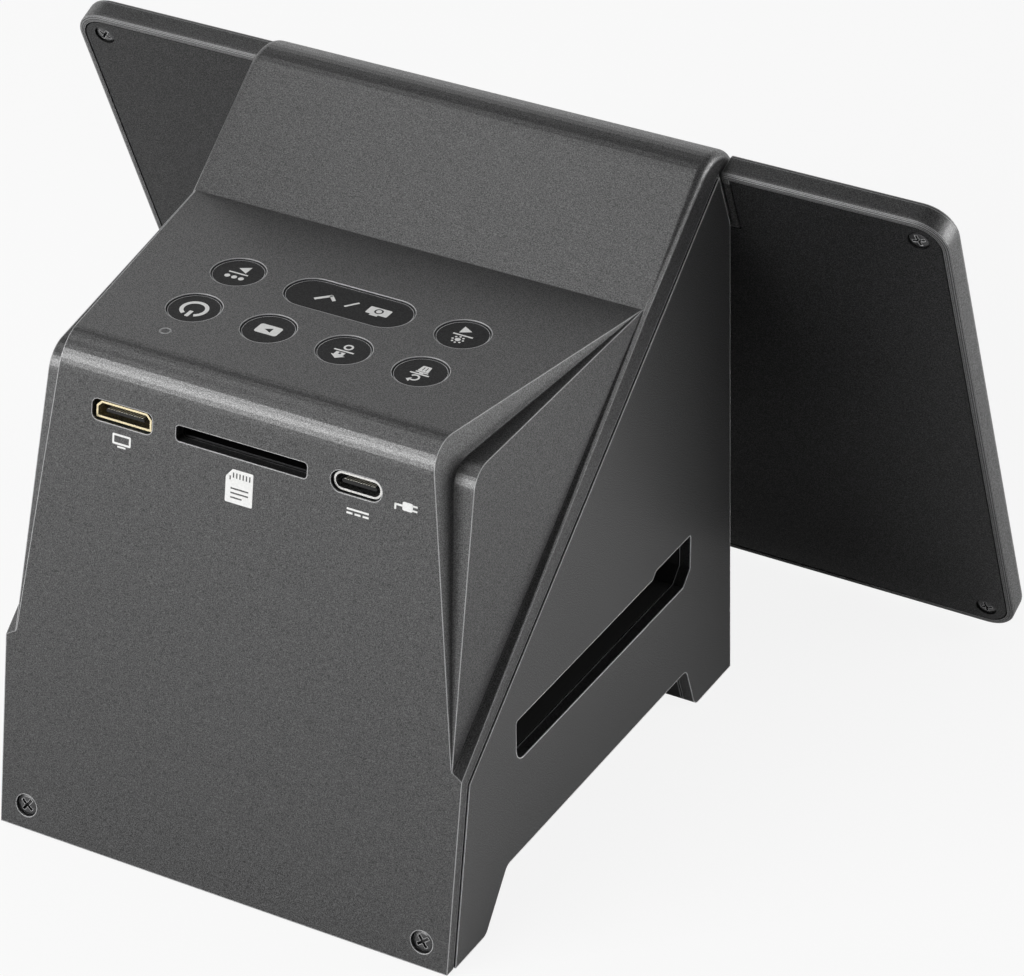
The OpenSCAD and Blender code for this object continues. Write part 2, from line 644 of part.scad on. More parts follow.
// ---- light path ----
track_outline = inset(slot_outline, -track_wall);
track_w = inner_w - 2 * seat;
module film_track() {
    color([0.12, 0.12, 0.13]) in_place() difference() {
        along_x(track_w, track_outline);
        along_x(body_w, slot_outline);
        translate([0, gate_y, slot_z])
            cube([window_l, window_w, 4 * slot_h], center = true);
    }
}
box_top = slot_z - track_wall - 0.1;
box_bottom = arch_h + wall * 1.5 + 0.1;
box_w = 2 * pad_x + 6.8;
box_y0 = base_screw_ys[0] - 3.4;
box_y1 = base_screw_ys[1] + 3.4;
box_floor = 1.2;
box_pad = 6;                                     // screw pads reach this far past their screws
diffuser_t = 2;
diffuser_l = window_l + 12;
diffuser_w = window_w + 12;
backlight_l = diffuser_l - 4;
backlight_w = diffuser_w - 4;
light_t = 1.6;
module light_box() {
    color([0.85, 0.85, 0.85]) in_place() difference() {
        translate([-box_w / 2, box_y0, box_bottom])
            cube([box_w, box_y1 - box_y0, box_top - box_bottom]);
        translate([-diffuser_l / 2 - seat / 2, gate_y - diffuser_w / 2 - seat / 2,
            box_top - diffuser_t - seat]) cube([diffuser_l + seat, diffuser_w + seat, box_top]);
        translate([-backlight_l / 2 - seat / 2, gate_y - backlight_w / 2 - seat / 2,
            box_bottom + box_floor]) cube([backlight_l + seat, backlight_w + seat, box_top]);
        both_sides() for (y = base_screw_ys) translate([pad_x, y, box_bottom - cut])
            cylinder(base_screw_l + cut, base_screw_r, base_screw_r);
        // waist between the screw pads
        both_sides() translate([diffuser_l / 2 + box_floor + 1, base_screw_ys[0] + box_pad,
            box_bottom - cut])
            cube([box_w, base_screw_ys[1] - base_screw_ys[0] - 2 * box_pad, box_top]);
    }
}
module diffuser_plate() {
    color([0.95, 0.95, 0.93]) in_place() translate([-diffuser_l / 2, gate_y - diffuser_w / 2,
        box_top - diffuser_t - 0.2]) cube([diffuser_l, diffuser_w, diffuser_t]);
}
module backlight_board() {
    color([0.1, 0.35, 0.2]) in_place() {
        translate([-backlight_l / 2, gate_y - backlight_w / 2, box_bottom + box_floor + 0.1])
            cube([backlight_l, backlight_w, light_t]);
        for (x = [-15, -5, 5, 15]) for (y = [-9, 0, 9])
            translate([x - 1.4, gate_y + y - 1.4, box_bottom + box_floor + 0.1 + light_t])
                cube([2.8, 2.8, 0.7]);
    }
}
tower_z = slot_top_z + track_wall + 0.1;
tower_h = 30;
tower_w = 46;
tower_d = 30;
tower_wall = 2;
skirt_h = 8;
lens_r = 7;
lens_bore = 3.4;                                 // radius of the lens's stop
lens_seat = 5;                                   // depth of the glasses' seats
lens_wall = 1.4;
sensor_w = 28;
sensor_d = 24;
sensor_t = 1.2;
chip_w = 10;                                     // image sensor on its board
chip_t = 1.4;
module optics_tower() {
    color([0.1, 0.1, 0.1]) in_place() translate([0, gate_y, tower_z]) difference() {
        union() {
            translate([-tower_w / 2, -tower_d / 2, 0]) cube([tower_w, tower_d, skirt_h]);
            cylinder(tower_h, lens_r + 3, lens_r + 3);
            translate([-sensor_w / 2, -sensor_d / 2, tower_h - tower_wall])
                cube([sensor_w, sensor_d, tower_wall]);
            // ribs across the tower
            for (a = [0, 90]) rotate([0, 0, a]) translate([-tower_d / 2, -track_wall / 2, 0])
                cube([tower_d, track_wall, tower_h * 0.73]);
        }
        translate([-tower_w / 2 + tower_wall, -tower_d / 2 + tower_wall, -cut])
            cube([tower_w - 2 * tower_wall, tower_d - 2 * tower_wall,
                skirt_h - tower_wall + cut]);
        cylinder(tower_h + cut, lens_r + 0.05, lens_r + 0.05);
    }
}
lens_l = 18;
lens_up = 8;
module lens_barrel() {
    color([0.05, 0.05, 0.05]) in_place() translate([0, gate_y, tower_z + lens_up]) difference() {
        cylinder(lens_l, lens_r, lens_r);
        translate([0, 0, -cut]) cylinder(lens_seat + cut, lens_r - lens_wall, lens_r - lens_wall);
        cylinder(lens_l + cut, lens_bore, lens_bore);
        translate([0, 0, lens_l - lens_seat])
            cylinder(lens_seat + cut, lens_r - lens_wall, lens_r - lens_wall);
    }
}
module lens_glass() {
    color([0.7, 0.8, 0.9, 0.5]) in_place() translate([0, gate_y, tower_z + lens_up]) {
        translate([0, 0, lens_seat * 0.4])
            cylinder(lens_seat * 0.6 - 0.1, lens_r - lens_wall - 0.05, lens_r - lens_wall - 0.05);
        translate([0, 0, lens_l - lens_seat + 0.1])
            cylinder(lens_seat / 2, lens_r - lens_wall - 0.05, lens_r - lens_wall - 0.05);
    }
}
module sensor_board() {
    color([0.1, 0.35, 0.2]) in_place() translate([0, gate_y, tower_z + tower_h + 0.1]) {
        translate([-sensor_w / 2, -sensor_d / 2, 0]) cube([sensor_w, sensor_d, sensor_t]);
        translate([-chip_w / 2, -chip_w / 2, sensor_t]) cube([chip_w, chip_w, chip_t]);
    }
}

// ---- boards and sockets ----
board_t = 1.6;
main_w = 66;
main_d = 26;
main_chip = 10;                                  // the two chips on the main board
socket_h = 3.2;
main_top = port_row - socket_h / 2 - 0.1;        // up the rear face
board_in = wall + 0.4;                           // distance of the board from the rear face
module main_board() {
    color([0.08, 0.3, 0.18]) in_place() on_rear_face() {
        translate([-main_w / 2, -board_in - main_d, main_top - board_t])
            cube([main_w, main_d, board_t]);
        for (s = [-1, 1]) translate([s * (main_w / 2 - 10) - main_chip / 2,
                -board_in - main_d + 2, main_top])
            cube([main_chip, main_chip, sensor_t]);
    }
}
module video_socket() {
    color([0.85, 0.68, 0.35]) in_place() on_rear_face()
        translate([video_x, -socket_in, main_top + 0.05 + socket_h / 2]) rotate([90, 0, 0])
            difference() {
                linear_extrude(socket_d)
                    polygon(video_shell(video_shell_w, video_shell_h, socket_h * 0.3));
                translate([0, 0, -cut]) linear_extrude(socket_d - socket_wall * 3 + cut)
                    polygon(inset(video_shell(video_shell_w, video_shell_h, socket_h * 0.3),
                        socket_wall));
            }
}
module card_socket() {
    color([0.6, 0.6, 0.62]) in_place() on_rear_face()
        translate([0, -wall - 0.5, main_top + 0.05]) difference() {
            translate([-card_w / 2 - 1, -card_d, 0]) cube([card_w + 2, card_d, socket_h]);
            translate([-card_w / 2 + 0.2, -card_d + 2, (socket_h - card_h) / 2 + 0.3])
                cube([card_w - 0.4, card_d, card_h - 0.6]);
        }
}
module power_socket() {
    color([0.75, 0.75, 0.77]) in_place() on_rear_face()
        translate([power_x, -socket_in, main_top + 0.05 + socket_h / 2]) rotate([90, 0, 0])
            difference() {
                stadium(power_w - port_clear, socket_h, 0, socket_d);
                stadium(power_w - port_clear - 2 * socket_wall, socket_h - 2 * socket_wall,
                    -cut, socket_d - socket_wall * 3);
            }
}
socket_in = 0.6;                                 // sockets stand this far behind the rear face
socket_d = 7.4;
socket_wall = 0.35;
port_clear = 0.6;                                // width of a mouth beyond its socket's
card_d = 23;
video_r = 1.2;                                   // corner radius of the video socket's mouth
video_shell_w = video_w - 1;
video_shell_h = socket_h - 0.2;
// Shell of the video socket, with its upper corners cut off by k
function video_shell(w, h, k) = [[-w / 2, -h / 2], [w / 2, -h / 2], [w / 2, h / 2 - k],
    [w / 2 - k, h / 2], [-w / 2 + k, h / 2], [-w / 2, h / 2 - k]];
module stadium(w, h, z0, z1) {
    translate([0, 0, z0]) {
        for (s = [-1, 1]) translate([s * (w - h) / 2, 0, 0]) cylinder(z1 - z0, h / 2, h / 2);
        translate([-(w - h) / 2, -h / 2, 0]) cube([w - h, h, z1 - z0]);
    }
}
flange_t = 1;
stem_l = 1.7;
switch_h = 1.7;
plunger_h = 0.5;
flange_top = deck_h - wall - seat;
stem_end = flange_top - flange_t - stem_l;
board_top_z = stem_end - button_travel - 0.1 - switch_h - plunger_h;
board_edge = 4;                                  // board beyond the middle of its screws
board_screw_in = 2.6;                            // depth of the board screws in their posts
button_board_w = 2 * (post_x + board_edge - 1);
module button_board() {
    color([0.08, 0.3, 0.18]) in_place() difference() {
        translate([-button_board_w / 2, post_ys[0] - board_edge, board_top_z - board_t])
            cube([button_board_w, post_ys[1] - post_ys[0] + 2 * board_edge, board_t - 0.05]);
        both_sides() for (y = post_ys) translate([post_x, y, board_top_z - board_t - cut])
            cylinder(board_t + 2 * cut, 0.9, 0.9);
    }
}
module board_screws() {
    color([0.6, 0.6, 0.62]) in_place() both_sides() for (y = post_ys)
        translate([post_x, y, board_top_z - board_t - 0.1]) mirror([0, 0, 1])
            cross_screw(1.6, 0.9, 0.7, board_t + board_screw_in);
}
switch_places = concat(round_places, [[0, row_1_y]]);
module button_switches() {
    color([0.2, 0.2, 0.2]) in_place() for (p = switch_places)
        translate([p.x, p.y, board_top_z]) {
            translate([-2.3, -2.3, 0]) cube([4.6, 4.6, switch_h]);
            translate([0, 0, switch_h]) cylinder(plunger_h, 1.2, 1.2);
        }
}
module status_lamp() {
    color([0.8, 0.9, 0.8]) in_place()
        translate([lamp_place.x, lamp_place.y, board_top_z + 0.05]) {
            cylinder(deck_h - board_top_z - 0.05, lamp_r, lamp_r);
            cylinder(1.6, 1.6, 1.6);
        }
}
module button_stem() {
    translate([0, 0, stem_end]) cylinder(flange_top - stem_end, 1.6, 1.6);
}
cap_top = deck_h - button_sink;
module round_button(p) {
    color([0.04, 0.04, 0.04]) in_place() translate([p.x, p.y, 0]) {
        translate([0, 0, flange_top - flange_t]) cylinder(flange_t, button_r + 1, button_r + 1);
        translate([0, 0, flange_top - flange_t / 2])
            cylinder(cap_top - flange_top + flange_t / 2, button_r, button_r);
        button_stem();
    }
}
module power_button() { round_button(round_places[0]); }
module gallery_button() { round_button(round_places[1]); }
module home_button() { round_button(round_places[2]); }
module delete_button() { round_button(round_places[3]); }
module colour_button() { round_button(round_places[4]); }
module brightness_button() { round_button(round_places[5]); }
module capture_button() {
    color([0.04, 0.04, 0.04]) in_place() translate([0, row_1_y, 0]) {
        translate([0, 0, flange_top - flange_t]) pill(button_r + 1, flange_t);
        translate([0, 0, flange_top - flange_t / 2])
            pill(button_r, cap_top - flange_top + flange_t / 2);
        button_stem();
    }
}

// ---- hinges ----
module hinge_bracket() {
    color([0.6, 0.6, 0.62]) in_place() difference() {
        union() {
            translate([bracket_x - sleeve_l / 2, pivot.x, pivot.y])
                rod_x(0, sleeve_l, sleeve_r);
            translate([bracket_x - sleeve_l / 2, pivot.x, pivot.y - bracket_t / 2])
                cube([sleeve_l, bracket_y - pivot.x, bracket_t]);
            translate([bracket_x - sleeve_l / 2, bracket_y - bracket_t / 2, bracket_foot_z])
                cube([sleeve_l, bracket_t, pivot.y + bracket_t / 2 - bracket_foot_z]);
        }
        translate([0, pivot.x, pivot.y])
            rod_x(0, body_w, shaft_r + shaft_fit);
        for (dx = [-1, 1]) translate([bracket_x + dx * sleeve_l / 4, bracket_y - 4 * bracket_t,
            bracket_foot_z + boss_h / 2]) rotate([-90, 0, 0]) cylinder(8 * bracket_t, 1, 1);
    }
}
module hinge_screws() {
    color([0.6, 0.6, 0.62]) in_place() at_bracket_screws()
        translate([0, 0, bracket_t / 2 + 0.05])
            cross_screw(1.5, 0.9, 0.65, bracket_t + hinge_screw_in);
}
module hinge_bracket_left() { hinge_bracket(); }
module hinge_bracket_right() { mirror([1, 0, 0]) hinge_bracket(); }
notch_x = cover_w / 2 + hood_gap;
leaf_w = 18;
leaf_h = 9;
leaf_t = 1;
leaf_top = 2;
leaf_x = notch_x + rim_w + 0.3;
module hinge_shaft() {
    color([0.5, 0.5, 0.52]) on_the_screen() {
        rod_x(bracket_x - sleeve_l / 2 + 0.5, leaf_x + leaf_w, shaft_r);
        translate([leaf_x, -leaf_t / 2, leaf_top - leaf_h]) cube([leaf_w, leaf_t, leaf_h]);
    }
}
module hinge_shaft_left() { hinge_shaft(); }
module hinge_shaft_right() { mirror([1, 0, 0]) hinge_shaft(); }

// ---- screen housing, drawn with Y out of the back and Z up the screen ----
screen_top = pivot_drop;
notch_clear = 0.5;
// bottom of the notch: the housing's rear corner clears the hood
hood_n = (hood - pivot) * screen_n;               // the hood's centre in the screen frame
hood_u = (hood - pivot) * screen_u;
notch_u = hood_u - sqrt(pow(hood_r + notch_clear, 2) - pow(hood_n - screen_back, 2));
// the display fills the housing from its foot to just under the notch
lcd_w = screen_w - 2 * lcd_in_x;
lcd_h = notch_u - rim_w - 2 * seat + screen_foot - lcd_up;
view_w = lcd_w - 2 * view_in_x;
view_h = lcd_h - 2 * view_in_h;
module plate(w, h, r) {
    x = w / 2 - r;
    outline = [for (c = [[x, h - r, 0], [-x, h - r, 90], [-x, r, 180], [x, r, 270]])
        each arc([c.x, c.y], r, c.z, c.z + 90)];
    polygon(outline);
}
// Slab of the screen from depth y0 to y1, shrunk all round by d, with the hood's notch
module slab(y0, y1, d, notch_d = 0) {
    difference() {
        translate([0, y1, -screen_foot + d]) rotate([90, 0, 0]) linear_extrude(y1 - y0)
            plate(screen_w - 2 * d, screen_h - 2 * d, screen_corner - d);
        if (notch_d >= 0) translate([-notch_x - notch_d, y0 - cut, notch_u - notch_d])
            cube([2 * (notch_x + notch_d), y1 - y0 + 2 * cut, far]);
    }
}
bezel_t = 1.4;
bezel_wall = rim_w;
front_inner = screen_front + bezel_t;
lcd_front = screen_back - back_t - 0.1 - lcd_t;
glass_t = 0.8;
glass_w = view_w + 5;
glass_h = view_h + 5;
glass_fit = 0.1;
view_u = -screen_foot + lcd_up + lcd_h / 2;      // height of the picture's middle
screw_x = screen_w / 2 - screw_in_x;
screw_us = [-screen_foot + screw_in_h, screen_top - screw_in_h];
screen_boss_r = 2.7;
screen_head_r = 1.9;
module screen_bezel() {
    color([0.2, 0.2, 0.21]) on_the_screen() difference() {
        union() {
            difference() {
                union() {
                    slab(screen_front + screen_edge, screen_back - screen_edge / 2, 0);
                    for (i = [1:edge_steps]) let (a = 90 * i / edge_steps)
                        slab(screen_front + screen_edge * (1 - sin(a)),
                            screen_back - screen_edge / 2 * (1 - sin(a)),
                            screen_edge * (1 - cos(a)), 0);
                }
                slab(front_inner, screen_back + cut, bezel_wall, bezel_wall);
            }
            both_sides() for (u = screw_us) translate([screw_x, front_inner - 0.2, u])
                rotate([-90, 0, 0])
                    cylinder(screen_back - back_t - 0.9 - front_inner + 0.2,
                        screen_boss_r, screen_boss_r);
            // pads under the hinge leaves
            both_sides() translate([leaf_x + 1, front_inner - 0.2, leaf_top - leaf_h])
                cube([leaf_w - 2, 0.2 - front_inner - leaf_t / 2 - 0.05,
                    leaf_h - shaft_r - leaf_top - 0.3]);
        }
        translate([-glass_w / 2 - glass_fit, screen_front - cut,
            view_u - glass_h / 2 - glass_fit])
            cube([glass_w + 2 * glass_fit, cut + glass_t + 0.05, glass_h + 2 * glass_fit]);
        translate([-view_w / 2, screen_front - cut, view_u - view_h / 2])
            cube([view_w, bezel_t + 2 * cut, view_h]);
        both_sides() for (u = screw_us) translate([screw_x, front_inner - 0.1, u])
            rotate([-90, 0, 0]) cylinder(screen_t, 0.85, 0.85);
        both_sides() rod_x(0, notch_x + 4, shaft_r + 0.1);
    }
}
module screen_rear_cover() {
    color([0.2, 0.2, 0.21]) on_the_screen() difference() {
        union() {
            slab(screen_back - back_t, screen_back - 0.1, rim_w + rim_groove,
                rim_w + rim_groove);
            both_sides() for (u = screw_us)
                translate([screw_x, screen_back - back_t - 0.8, u])
                    rotate([-90, 0, 0]) cylinder(1.2, screen_boss_r, screen_boss_r);
        }
        both_sides() for (u = screw_us) translate([screw_x, screen_back + cut, u])
            rotate([90, 0, 0]) {
                cylinder(cut + 1.25, screen_head_r + 0.1, screen_head_r + 0.1);
                cylinder(screen_t, 1, 1);
            }
    }
}
module screen_glass() {
    color([0.03, 0.03, 0.04]) on_the_screen()
        translate([-glass_w / 2, screen_front + 0.05, view_u - glass_h / 2])
            cube([glass_w, glass_t - 0.05, glass_h]);
}
module display_module() {
    color([0.08, 0.08, 0.09]) on_the_screen()
        translate([-lcd_w / 2, lcd_front, view_u - lcd_h / 2]) cube([lcd_w, lcd_t, lcd_h]);
}
module screen_screws() {
    color([0.25, 0.25, 0.26]) on_the_screen() both_sides() for (u = screw_us)
        translate([screw_x, screen_back - 1.2, u]) rotate([-90, 0, 0])
            cross_screw(screen_head_r, 0.8, 0.75, 2);
}

side_shell();
top_rear_cover();
base_plate();
rubber_pads();
base_screws();
rear_screws();
film_track();
light_box();
diffuser_plate();
backlight_board();
optics_tower();
lens_barrel();
lens_glass();
sensor_board();
main_board();
video_socket();
card_socket();
power_socket();
button_board();
button_switches();
board_screws();
status_lamp();
power_button();
gallery_button();
home_button();
delete_button();
capture_button();
colour_button();
brightness_button();
hinge_bracket_left();
hinge_bracket_right();
hinge_screws();
hinge_shaft_left();
hinge_shaft_right();
screen_bezel();
screen_rear_cover();
screen_glass();
display_module();
screen_screws();
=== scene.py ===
# %% [markdown]
# # A desktop film scanner, dressed for its portrait
# The CAD frame already gives every part its size, its place and its joint. This notebook adds
# what a solid can't say: how each surface is finished, and the small printed and moulded details.
# All lengths are metres unless a name or a comment says mm, and the part stands on z = 0 with its
# screen towards -Y.

# %% Load the frame
import json
import math
import bpy
import bmesh
from mathutils import Matrix, Vector


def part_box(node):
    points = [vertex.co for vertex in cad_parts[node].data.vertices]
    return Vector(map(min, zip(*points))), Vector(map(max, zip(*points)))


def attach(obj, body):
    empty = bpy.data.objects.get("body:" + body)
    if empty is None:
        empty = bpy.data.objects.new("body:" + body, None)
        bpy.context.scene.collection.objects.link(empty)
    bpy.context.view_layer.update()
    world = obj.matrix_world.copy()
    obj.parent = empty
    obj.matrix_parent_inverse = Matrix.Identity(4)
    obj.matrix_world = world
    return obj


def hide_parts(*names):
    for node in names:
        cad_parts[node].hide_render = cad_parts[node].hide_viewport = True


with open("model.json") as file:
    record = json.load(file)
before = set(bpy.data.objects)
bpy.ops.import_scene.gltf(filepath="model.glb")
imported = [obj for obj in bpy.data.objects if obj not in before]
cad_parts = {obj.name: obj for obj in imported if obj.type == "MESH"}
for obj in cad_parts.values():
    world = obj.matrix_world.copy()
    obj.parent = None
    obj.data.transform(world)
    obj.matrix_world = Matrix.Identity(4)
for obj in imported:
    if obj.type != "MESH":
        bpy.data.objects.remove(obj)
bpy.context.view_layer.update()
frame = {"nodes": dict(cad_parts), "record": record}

MM = 0.001

# %% [markdown]
# ## Measures shared by the pieces
# Printed signs, sockets and screws all sit on a few planes: the caps' tops, the leaning rear face
# and the leaning back of the screen. Places could be typed one by one, but then each would have
# to be corrected when the design moves. So we keep only the two slopes and read the rest from the
# boxes of the CAD nodes.

# %% Slopes and planes
REAR_LEAN = math.radians(9.3)
SCREEN_LEAN = math.radians(22.5)
REAR_OUT = Vector((0, math.cos(REAR_LEAN), math.sin(REAR_LEAN)))
REAR_UP = Vector((0, -math.sin(REAR_LEAN), math.cos(REAR_LEAN)))
SCREEN_OUT = Vector((0, math.cos(SCREEN_LEAN), -math.sin(SCREEN_LEAN)))
SCREEN_UP = Vector((0, math.sin(SCREEN_LEAN), math.cos(SCREEN_LEAN)))

cover_low, cover_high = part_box("top_rear_cover")
REAR_FOOT = Vector((0, cover_high[1] + cover_low[2] * math.tan(REAR_LEAN), 0))
print("the rear face meets z = 0 at y =", round(REAR_FOOT.y / MM, 2), "mm")


def in_frame(place, out, up):
    """A matrix whose Z points out of a surface and whose Y runs up it, as its reader sees it."""
    right = Vector(up).cross(Vector(out))
    turn = Matrix((right, up, out)).transposed().to_4x4()
    return Matrix.Translation(place) @ turn @ Matrix.Scale(MM, 4)


def on_rear(x_mm, up_mm):
    """A place on the rear face, up_mm measured along the slope, in the reader's frame."""
    place = REAR_FOOT + Vector((x_mm * MM, 0, 0)) + REAR_UP * up_mm * MM
    return in_frame(place, REAR_OUT, REAR_UP)


def on_cap(node):
    """The middle of a button's top, in the frame of someone who stands at the screen."""
    low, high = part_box(node)
    place = Vector(((low[0] + high[0]) / 2, (low[1] + high[1]) / 2, high[2]))
    return in_frame(place, Vector((0, 0, 1)), Vector((0, 1, 0)))


# %% [markdown]
# ## The camera
# The portrait is taken from behind and to one side, from about 0.7 m, with a long lens. A long
# lens keeps the edges of a small product nearly parallel, so that it looks calm and solid. The
# camera has a slight roll, as a hand-levelled tripod has.

# %% Camera
CAMERA_AZIMUTH = 3.65631621
CAMERA_ELEVATION = 0.560879194
CAMERA_ROLL = -0.0078690922
CAMERA_DISTANCE = 0.71873556
FOCAL_PX = 4288.33
FRAME_PX = 1024
SENSOR_MM = 36.0
# the aim is given from the middle of the body's own depth, as the base stands on its two bars
BODY_MIDDLE_Y = (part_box("side_shell")[0][1] + cover_high[1]) / 2
AIM = Vector((-0.0286295, BODY_MIDDLE_Y, 0.0621810))

away = Vector((math.sin(CAMERA_AZIMUTH) * math.cos(CAMERA_ELEVATION),
               -math.cos(CAMERA_AZIMUTH) * math.cos(CAMERA_ELEVATION),
               math.sin(CAMERA_ELEVATION)))
right = away.cross(Vector((0, 0, 1))) * -1
right.normalize()
up = right.cross(-away)
cam_x = math.cos(CAMERA_ROLL) * right + math.sin(CAMERA_ROLL) * up
cam_y = -math.sin(CAMERA_ROLL) * right + math.cos(CAMERA_ROLL) * up
camera_data = bpy.data.cameras.new("portrait_camera")
camera_data.sensor_width = SENSOR_MM
camera_data.lens = FOCAL_PX * SENSOR_MM / FRAME_PX
camera_data.clip_start = 0.05
camera_data.clip_end = 20
camera = bpy.data.objects.new("portrait_camera", camera_data)
turned = Matrix((cam_x, cam_y, away)).transposed().to_4x4()
camera.matrix_world = Matrix.Translation(AIM + CAMERA_DISTANCE * away) @ turned
bpy.context.scene.collection.objects.link(camera)
bpy.context.scene.camera = camera
print("lens", round(camera_data.lens, 2), "mm; body middle at y", round(BODY_MIDDLE_Y / MM, 2))

# %% [markdown]
# ## Helpers for node graphs
# The floor, the room and every finish are graphs of nodes. With a line for each node, each
# setting and each link, a reader soon loses what a graph does. A few helpers let it read like a
# formula instead: one makes a node, one fills its inputs with values or links, and two return the
# result of a sum or a mix.

# %% Node helpers
WHITE = (1, 1, 1, 1)


def fill(tree, node, sockets):
    """Give a node's inputs plain values, or join them to the outputs of other nodes."""
    for label, value in sockets.items():
        if isinstance(value, bpy.types.NodeSocket):
            tree.links.new(value, node.inputs[label])
        else:
            node.inputs[label].default_value = value
    return node


def add_node(tree, kind, sockets=None, **settings):
    """Make a node. Its settings come first, because they decide which inputs it shows."""
    node = tree.nodes.new("ShaderNode" + kind)
    for label, value in settings.items():
        setattr(node, label, value)
    return fill(tree, node, sockets or {})


def reckon(tree, operation, *values, clamp=False):
    """The result of a Math node on values or sockets."""
    sockets = dict(enumerate(values))
    return add_node(tree, "Math", sockets, operation=operation, use_clamp=clamp).outputs[0]


def blend_tones(tree, share, first, second):
    """All of the first tone where the share is 0, and all of the second where it is 1."""
    sockets = {"Factor": share, "A": first, "B": second}
    return add_node(tree, "Mix", sockets, data_type="RGBA").outputs["Result"]


def empty_tree(holder):
    """The graph of a material or a world, with nothing in it yet."""
    holder.use_nodes = True
    holder.node_tree.nodes.clear()
    return holder.node_tree


print("node helpers ready")

# %% [markdown]
# ## The floor
# A product stands on a white sweep. One could light the floor until it clips to white, but that
# light would bleach the part as well. Instead the floor keeps its own pale colour, and rays from
# the camera see most of it as plain white, with a share of the true surface left so that the soft
# shadow stays. Rays off glossy surfaces see a smaller share of that white.

# %% Floor
SWEEP_SIZE = 6.0
PALE = (0.80, 0.80, 0.80, 1)
SHADOW_KEEP = 0.12
GLOSSY_WHITE = 0.08


def white_share(tree):
    """How much plain white a ray sees: most from the camera, and little off gloss."""
    ray = add_node(tree, "LightPath").outputs
    gloss = reckon(tree, "MAXIMUM", ray["Is Glossy Ray"], ray["Is Transmission Ray"])
    seen = reckon(tree, "MAXIMUM", ray["Is Camera Ray"],
                  reckon(tree, "MULTIPLY", gloss, GLOSSY_WHITE))
    return reckon(tree, "MULTIPLY", seen, 1 - SHADOW_KEEP)


floor_mat = bpy.data.materials.new("pale_floor")
tree = empty_tree(floor_mat)
floor_skin = add_node(tree, "BsdfDiffuse", {"Color": PALE})
floor_glow = add_node(tree, "Emission", {"Color": WHITE, "Strength": 1.0})
floor_mix = add_node(tree, "MixShader", {"Fac": white_share(tree), 1: floor_skin.outputs[0],
                                         2: floor_glow.outputs[0]})
add_node(tree, "OutputMaterial", {"Surface": floor_mix.outputs[0]})

bm = bmesh.new()
bmesh.ops.create_grid(bm, x_segments=1, y_segments=1, size=SWEEP_SIZE / 2)
floor_mesh = bpy.data.meshes.new("floor")
bm.to_mesh(floor_mesh)
bm.free()
floor = bpy.data.objects.new("floor", floor_mesh)
bpy.context.scene.collection.objects.link(floor)
floor.data.materials.append(floor_mat)
print("floor", SWEEP_SIZE, "m wide; camera sees", 1 - SHADOW_KEEP, "white")

# %% [markdown]
# ## The room
# A black satin shell takes its tone from what it mirrors. In a studio the sweep is bright near
# the horizon and the ceiling is dark, so the world is a gradient: light low down, dim overhead. A
# black flag near the camera keeps the corner between the side and the screen dark, which gives
# the wedge its depth. The camera itself sees plain white behind the part.

# %% World
HORIZON_LIGHT = 1.0
CEILING_LIGHT = 0.15
HORIZON_TOP = 0.45
CEILING_FROM = 0.75
FLAG_WAY = (-0.64, 0.77, 0.0)
FLAG_FROM = 0.30
FLAG_FULL = 0.80
FLAG_LIGHT = 0.05


def eased(tree, value, start, end, low, high):
    """A level that eases from low, at the start, to high, at the end."""
    sockets = {"Value": value, "From Min": start, "From Max": end, "To Min": low, "To Max": high}
    node = add_node(tree, "MapRange", sockets, interpolation_type="SMOOTHSTEP")
    return node.outputs["Result"]


world = bpy.data.worlds.new("studio")
bpy.context.scene.world = world
sky = empty_tree(world)
way = add_node(sky, "TexCoord").outputs["Generated"]
way_up = add_node(sky, "SeparateXYZ", {0: way}).outputs["Z"]
to_flag = add_node(sky, "VectorMath", {0: way, 1: FLAG_WAY}, operation="DOT_PRODUCT")
rise = eased(sky, way_up, HORIZON_TOP, CEILING_FROM, HORIZON_LIGHT, CEILING_LIGHT)
flag = eased(sky, to_flag.outputs["Value"], FLAG_FROM, FLAG_FULL, 1.0, FLAG_LIGHT)
room = add_node(sky, "Background", {"Strength": reckon(sky, "MULTIPLY", rise, flag)})
backdrop = add_node(sky, "Background", {"Color": WHITE})
from_camera = add_node(sky, "LightPath").outputs["Is Camera Ray"]
sky_mix = add_node(sky, "MixShader", {"Fac": from_camera, 1: room.outputs[0],
                                      2: backdrop.outputs[0]})
add_node(sky, "OutputWorld", {"Surface": sky_mix.outputs[0]})
bpy.context.scene.view_settings.view_transform = "Standard"
print("room: horizon", HORIZON_LIGHT, "ceiling", CEILING_LIGHT)

# %% [markdown]
# ## The lamps
# Large soft boxes do the modelling. The key is low behind the part, so that the rounded rear edge
# of the deck catches it as one soft band. A small box hangs over the ramp, and a third stands
# near the floor beside the screen, where it reaches the stepped cheeks but the screen shades the
# side. The last one turns its back on the part and lights only the sweep, which the cheeks
# mirror. Hard lamps would draw sharp spots on satin plastic instead.

# %% Lamps
def soft_lamp(name, place, size, watts, aim):
    data = bpy.data.lights.new(name, "AREA")
    data.shape = "RECTANGLE"
    data.size, data.size_y = size
    data.energy = watts
    lamp = bpy.data.objects.new(name, data)
    lamp.visible_camera = False
    facing = (Vector(place) - Vector(aim)).to_track_quat("Z", "Y").to_matrix().to_4x4()
    lamp.matrix_world = Matrix.Translation(place) @ facing
    bpy.context.scene.collection.objects.link(lamp)


